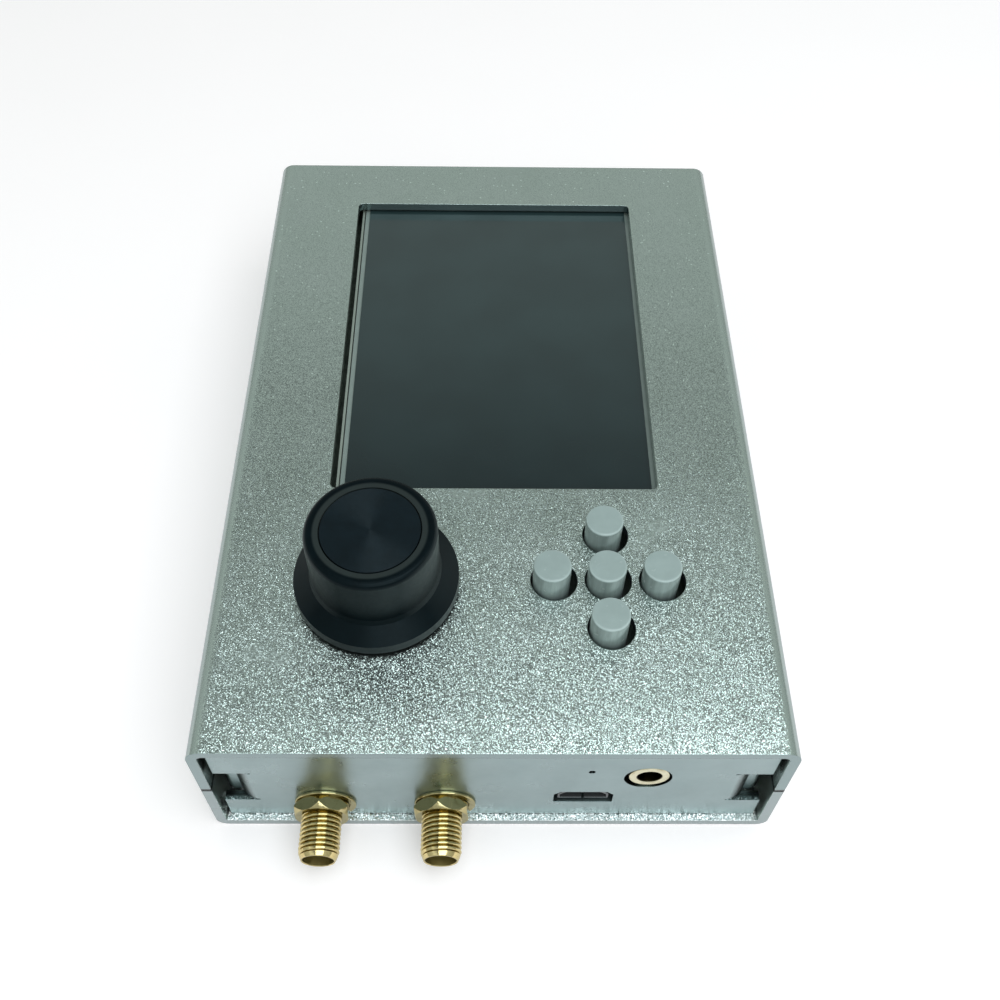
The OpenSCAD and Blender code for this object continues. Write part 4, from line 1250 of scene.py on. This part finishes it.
@dataclass
class Screen(SubAssembly):
    """The display behind the window."""

    def build(self) -> None:
        """Dress polariser, glass, tray, tape and ribbon."""
        film = ScreenFilm("screen_dark", (0.022, 0.041, 0.043), 0.12)
        glass = MouldedPlastic("screen_border", (0.24, 0.29, 0.27), 0.2, grain_mm=0.3, depth_mm=0.001)
        tray = MouldedPlastic("tray_white", (0.28, 0.32, 0.28), 0.4)
        tape = Foam("tape_foam", (0.03, 0.03, 0.03), 0.9)
        ribbon = MouldedPlastic("ribbon_amber", (0.5, 0.26, 0.06), 0.25, grain_mm=0.3, depth_mm=0.002)
        self.dress(film.make(), "screen_polariser")
        self.dress(glass.make(), "screen_glass")
        self.dress(tray.make(), "backlight_tray")
        self.dress(tape.make(), "screen_tape")
        self.dress(ribbon.make(), "screen_ribbon")


@dataclass
class Inside(SubAssembly):
    """Boards, battery and the sockets that stand on the boards."""

    def build(self) -> None:
        """Dress everything that the case holds."""
        mask = CircuitBoard("solder_mask", (0.075, 0.1, 0.08), 0.35)
        brass = PlatedMetal("turned_brass", (0.7, 0.52, 0.22), 0.28)
        can = SatinMetal("tinned_sheet", (0.52, 0.54, 0.55), 0.3)
        # Painted shade: the socket's shell gets a much darker tin than the shield can, so it reads as shaded
        # in its cut-out.
        shell = SatinMetal("shaded_socket_tin", (0.16, 0.165, 0.17), 0.45)
        steel = SatinMetal("socket_steel", (0.5, 0.5, 0.52), 0.28)
        black = MouldedPlastic("black_moulding", (0.022, 0.022, 0.024), 0.42)
        foil = SatinMetal("cell_foil", (0.6, 0.61, 0.63), 0.35)
        pad = Foam("pad_foam", (0.04, 0.04, 0.04), 0.9)
        clear = ClearMoulding("clear_moulding", (0.85, 0.88, 0.86), 0.12)
        lamp = MouldedPlastic("lamp_body", (0.8, 0.82, 0.78), 0.3)
        self.dress(mask.make(), "main_board", "display_board")
        self.dress(brass.make(), "board_standoffs", "board_spacers")
        self.dress(can.make(), "shield_can")
        self.dress(shell.make(), "usb_shell")
        self.dress(steel.make(), "board_screws", "card_socket", "microphone")
        self.dress(black.make(), "board_headers", "main_board_chips", "usb_tongue", "phones_body")
        self.dress(foil.make(), "battery")
        self.dress(pad.make(), "battery_pad")
        self.dress(clear.make(), "light_pipes")
        self.dress(lamp.make(), "indicator_lights")


@dataclass(frozen=True)
class Softbox:
    """A soft light that hangs level and shines straight down."""

    name: str
    at: Triple
    size: Point
    watts: float

    def hang(self, tint: Colour) -> None:
        """Hang the light.

        Args:
            tint: Colour of its light.
        """
        data = bpy.data.lights.new(self.name, "AREA")
        data.shape = "RECTANGLE"
        data.size, data.size_y = self.size
        data.energy = self.watts
        data.color = tint
        light = bpy.data.objects.new(self.name, data)
        turn = DOWN.to_track_quat("-Z", "Y").to_matrix().to_4x4()
        light.matrix_world = Matrix.Translation(self.at) @ turn
        bpy.context.scene.collection.objects.link(light)


@dataclass
class Studio:
    """Floor, light and camera, with the camera's place in millimetres and the rest in metres."""

    camera_at: Triple = (-1.455, -124.704, 172.607)
    yaw_deg: float = 1.297
    pitch_deg: float = 54.234
    roll_deg: float = -1.322
    focal_px: float = 1134.3
    frame_px: float = 1000.0
    sensor_mm: float = 36.0
    clip_start: float = 0.01
    floor_size: float = 6.0
    floor_cells: int = 8
    floor_z: float = -0.0002
    light_tint: Colour = (0.92, 1.0, 1.03)
    room_tint: Colour = (0.92, 1.0, 0.945)
    room_tones: Tuple[Point, ...] = ((0.0, 0.42), (0.5, 0.54), (0.64, 0.61), (0.74, 0.46), (0.81, 0.26),
                                     (0.89, 0.12), (1.0, 0.1))
    softboxes: Tuple[Softbox, ...] = (Softbox("softbox_main", (0.16, -0.32, 0.62), (0.6, 0.88), 4.15),
                                      Softbox("softbox_side", (-0.52, -0.32, 0.62), (0.5, 0.88), 0.35))

    def camera(self) -> None:
        """Set the camera at the photograph's viewing angle."""
        yaw, pitch, roll = (math.radians(a) for a in (self.yaw_deg, self.pitch_deg, self.roll_deg))
        ahead = Vector((math.sin(yaw) * math.cos(pitch), math.cos(yaw) * math.cos(pitch), -math.sin(pitch)))
        right = Vector((math.cos(yaw), -math.sin(yaw), 0.0))
        down = ahead.cross(right)
        right, down = (math.cos(roll) * right + math.sin(roll) * down,
                       math.cos(roll) * down - math.sin(roll) * right)
        data = bpy.data.cameras.new("camera")
        data.sensor_width = self.sensor_mm
        data.lens = self.focal_px / self.frame_px * self.sensor_mm
        data.clip_start = self.clip_start
        camera = bpy.data.objects.new("camera", data)
        turn = Matrix((right, -down, -ahead)).transposed().to_4x4()
        camera.matrix_world = Matrix.Translation(Vector(self.camera_at) * MM) @ turn
        bpy.context.scene.collection.objects.link(camera)
        bpy.context.scene.camera = camera

    def floor(self) -> None:
        """Lay the pale floor under the case."""
        bm = bmesh.new()
        bmesh.ops.create_grid(bm, x_segments=self.floor_cells, y_segments=self.floor_cells,
                              size=self.floor_size / 2)
        bmesh.ops.translate(bm, vec=(0, 0, self.floor_z), verts=bm.verts)
        data = bpy.data.meshes.new("floor")
        bm.to_mesh(data)
        bm.free()
        data.materials.append(StudioFloor("floor_paper", (0.96, 0.89, 0.9), 0.9).make())
        floor = bpy.data.objects.new("floor", data)
        bpy.context.scene.collection.objects.link(floor)

    def room(self) -> None:
        """Fill the room with soft light, brighter at the walls than at the ceiling."""
        world = bpy.data.worlds.new("room")
        world.use_nodes = True
        tree = world.node_tree
        split = tree.nodes.new("ShaderNodeSeparateXYZ")
        ramp = tree.nodes.new("ShaderNodeValToRGB")
        fill_ramp(ramp, [(height, shade(self.room_tint, tone)) for height, tone in self.room_tones])
        tree.links.new(tree.nodes.new("ShaderNodeTexCoord").outputs["Generated"], split.inputs["Vector"])
        tree.links.new(split.outputs["Z"], ramp.inputs["Fac"])
        tree.links.new(ramp.outputs["Color"], tree.nodes["Background"].inputs["Color"])
        bpy.context.scene.world = world

    def build(self) -> None:
        """Set the whole studio."""
        self.camera()
        self.floor()
        self.room()
        for softbox in self.softboxes:
            softbox.hang(self.light_tint)
        bpy.context.scene.view_settings.view_transform = "Standard"


def main() -> None:
    """Build and dress the radio."""
    logging.basicConfig(level=logging.INFO, format="%(name)s: %(message)s")
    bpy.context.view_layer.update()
    nodes = frame["nodes"]
    for assembly in (Case(nodes), Jacks(nodes), Knob(nodes), Buttons(nodes), Screen(nodes), Inside(nodes)):
        assembly.build()
    Studio().build()


if __name__ == "__main__":
    main()
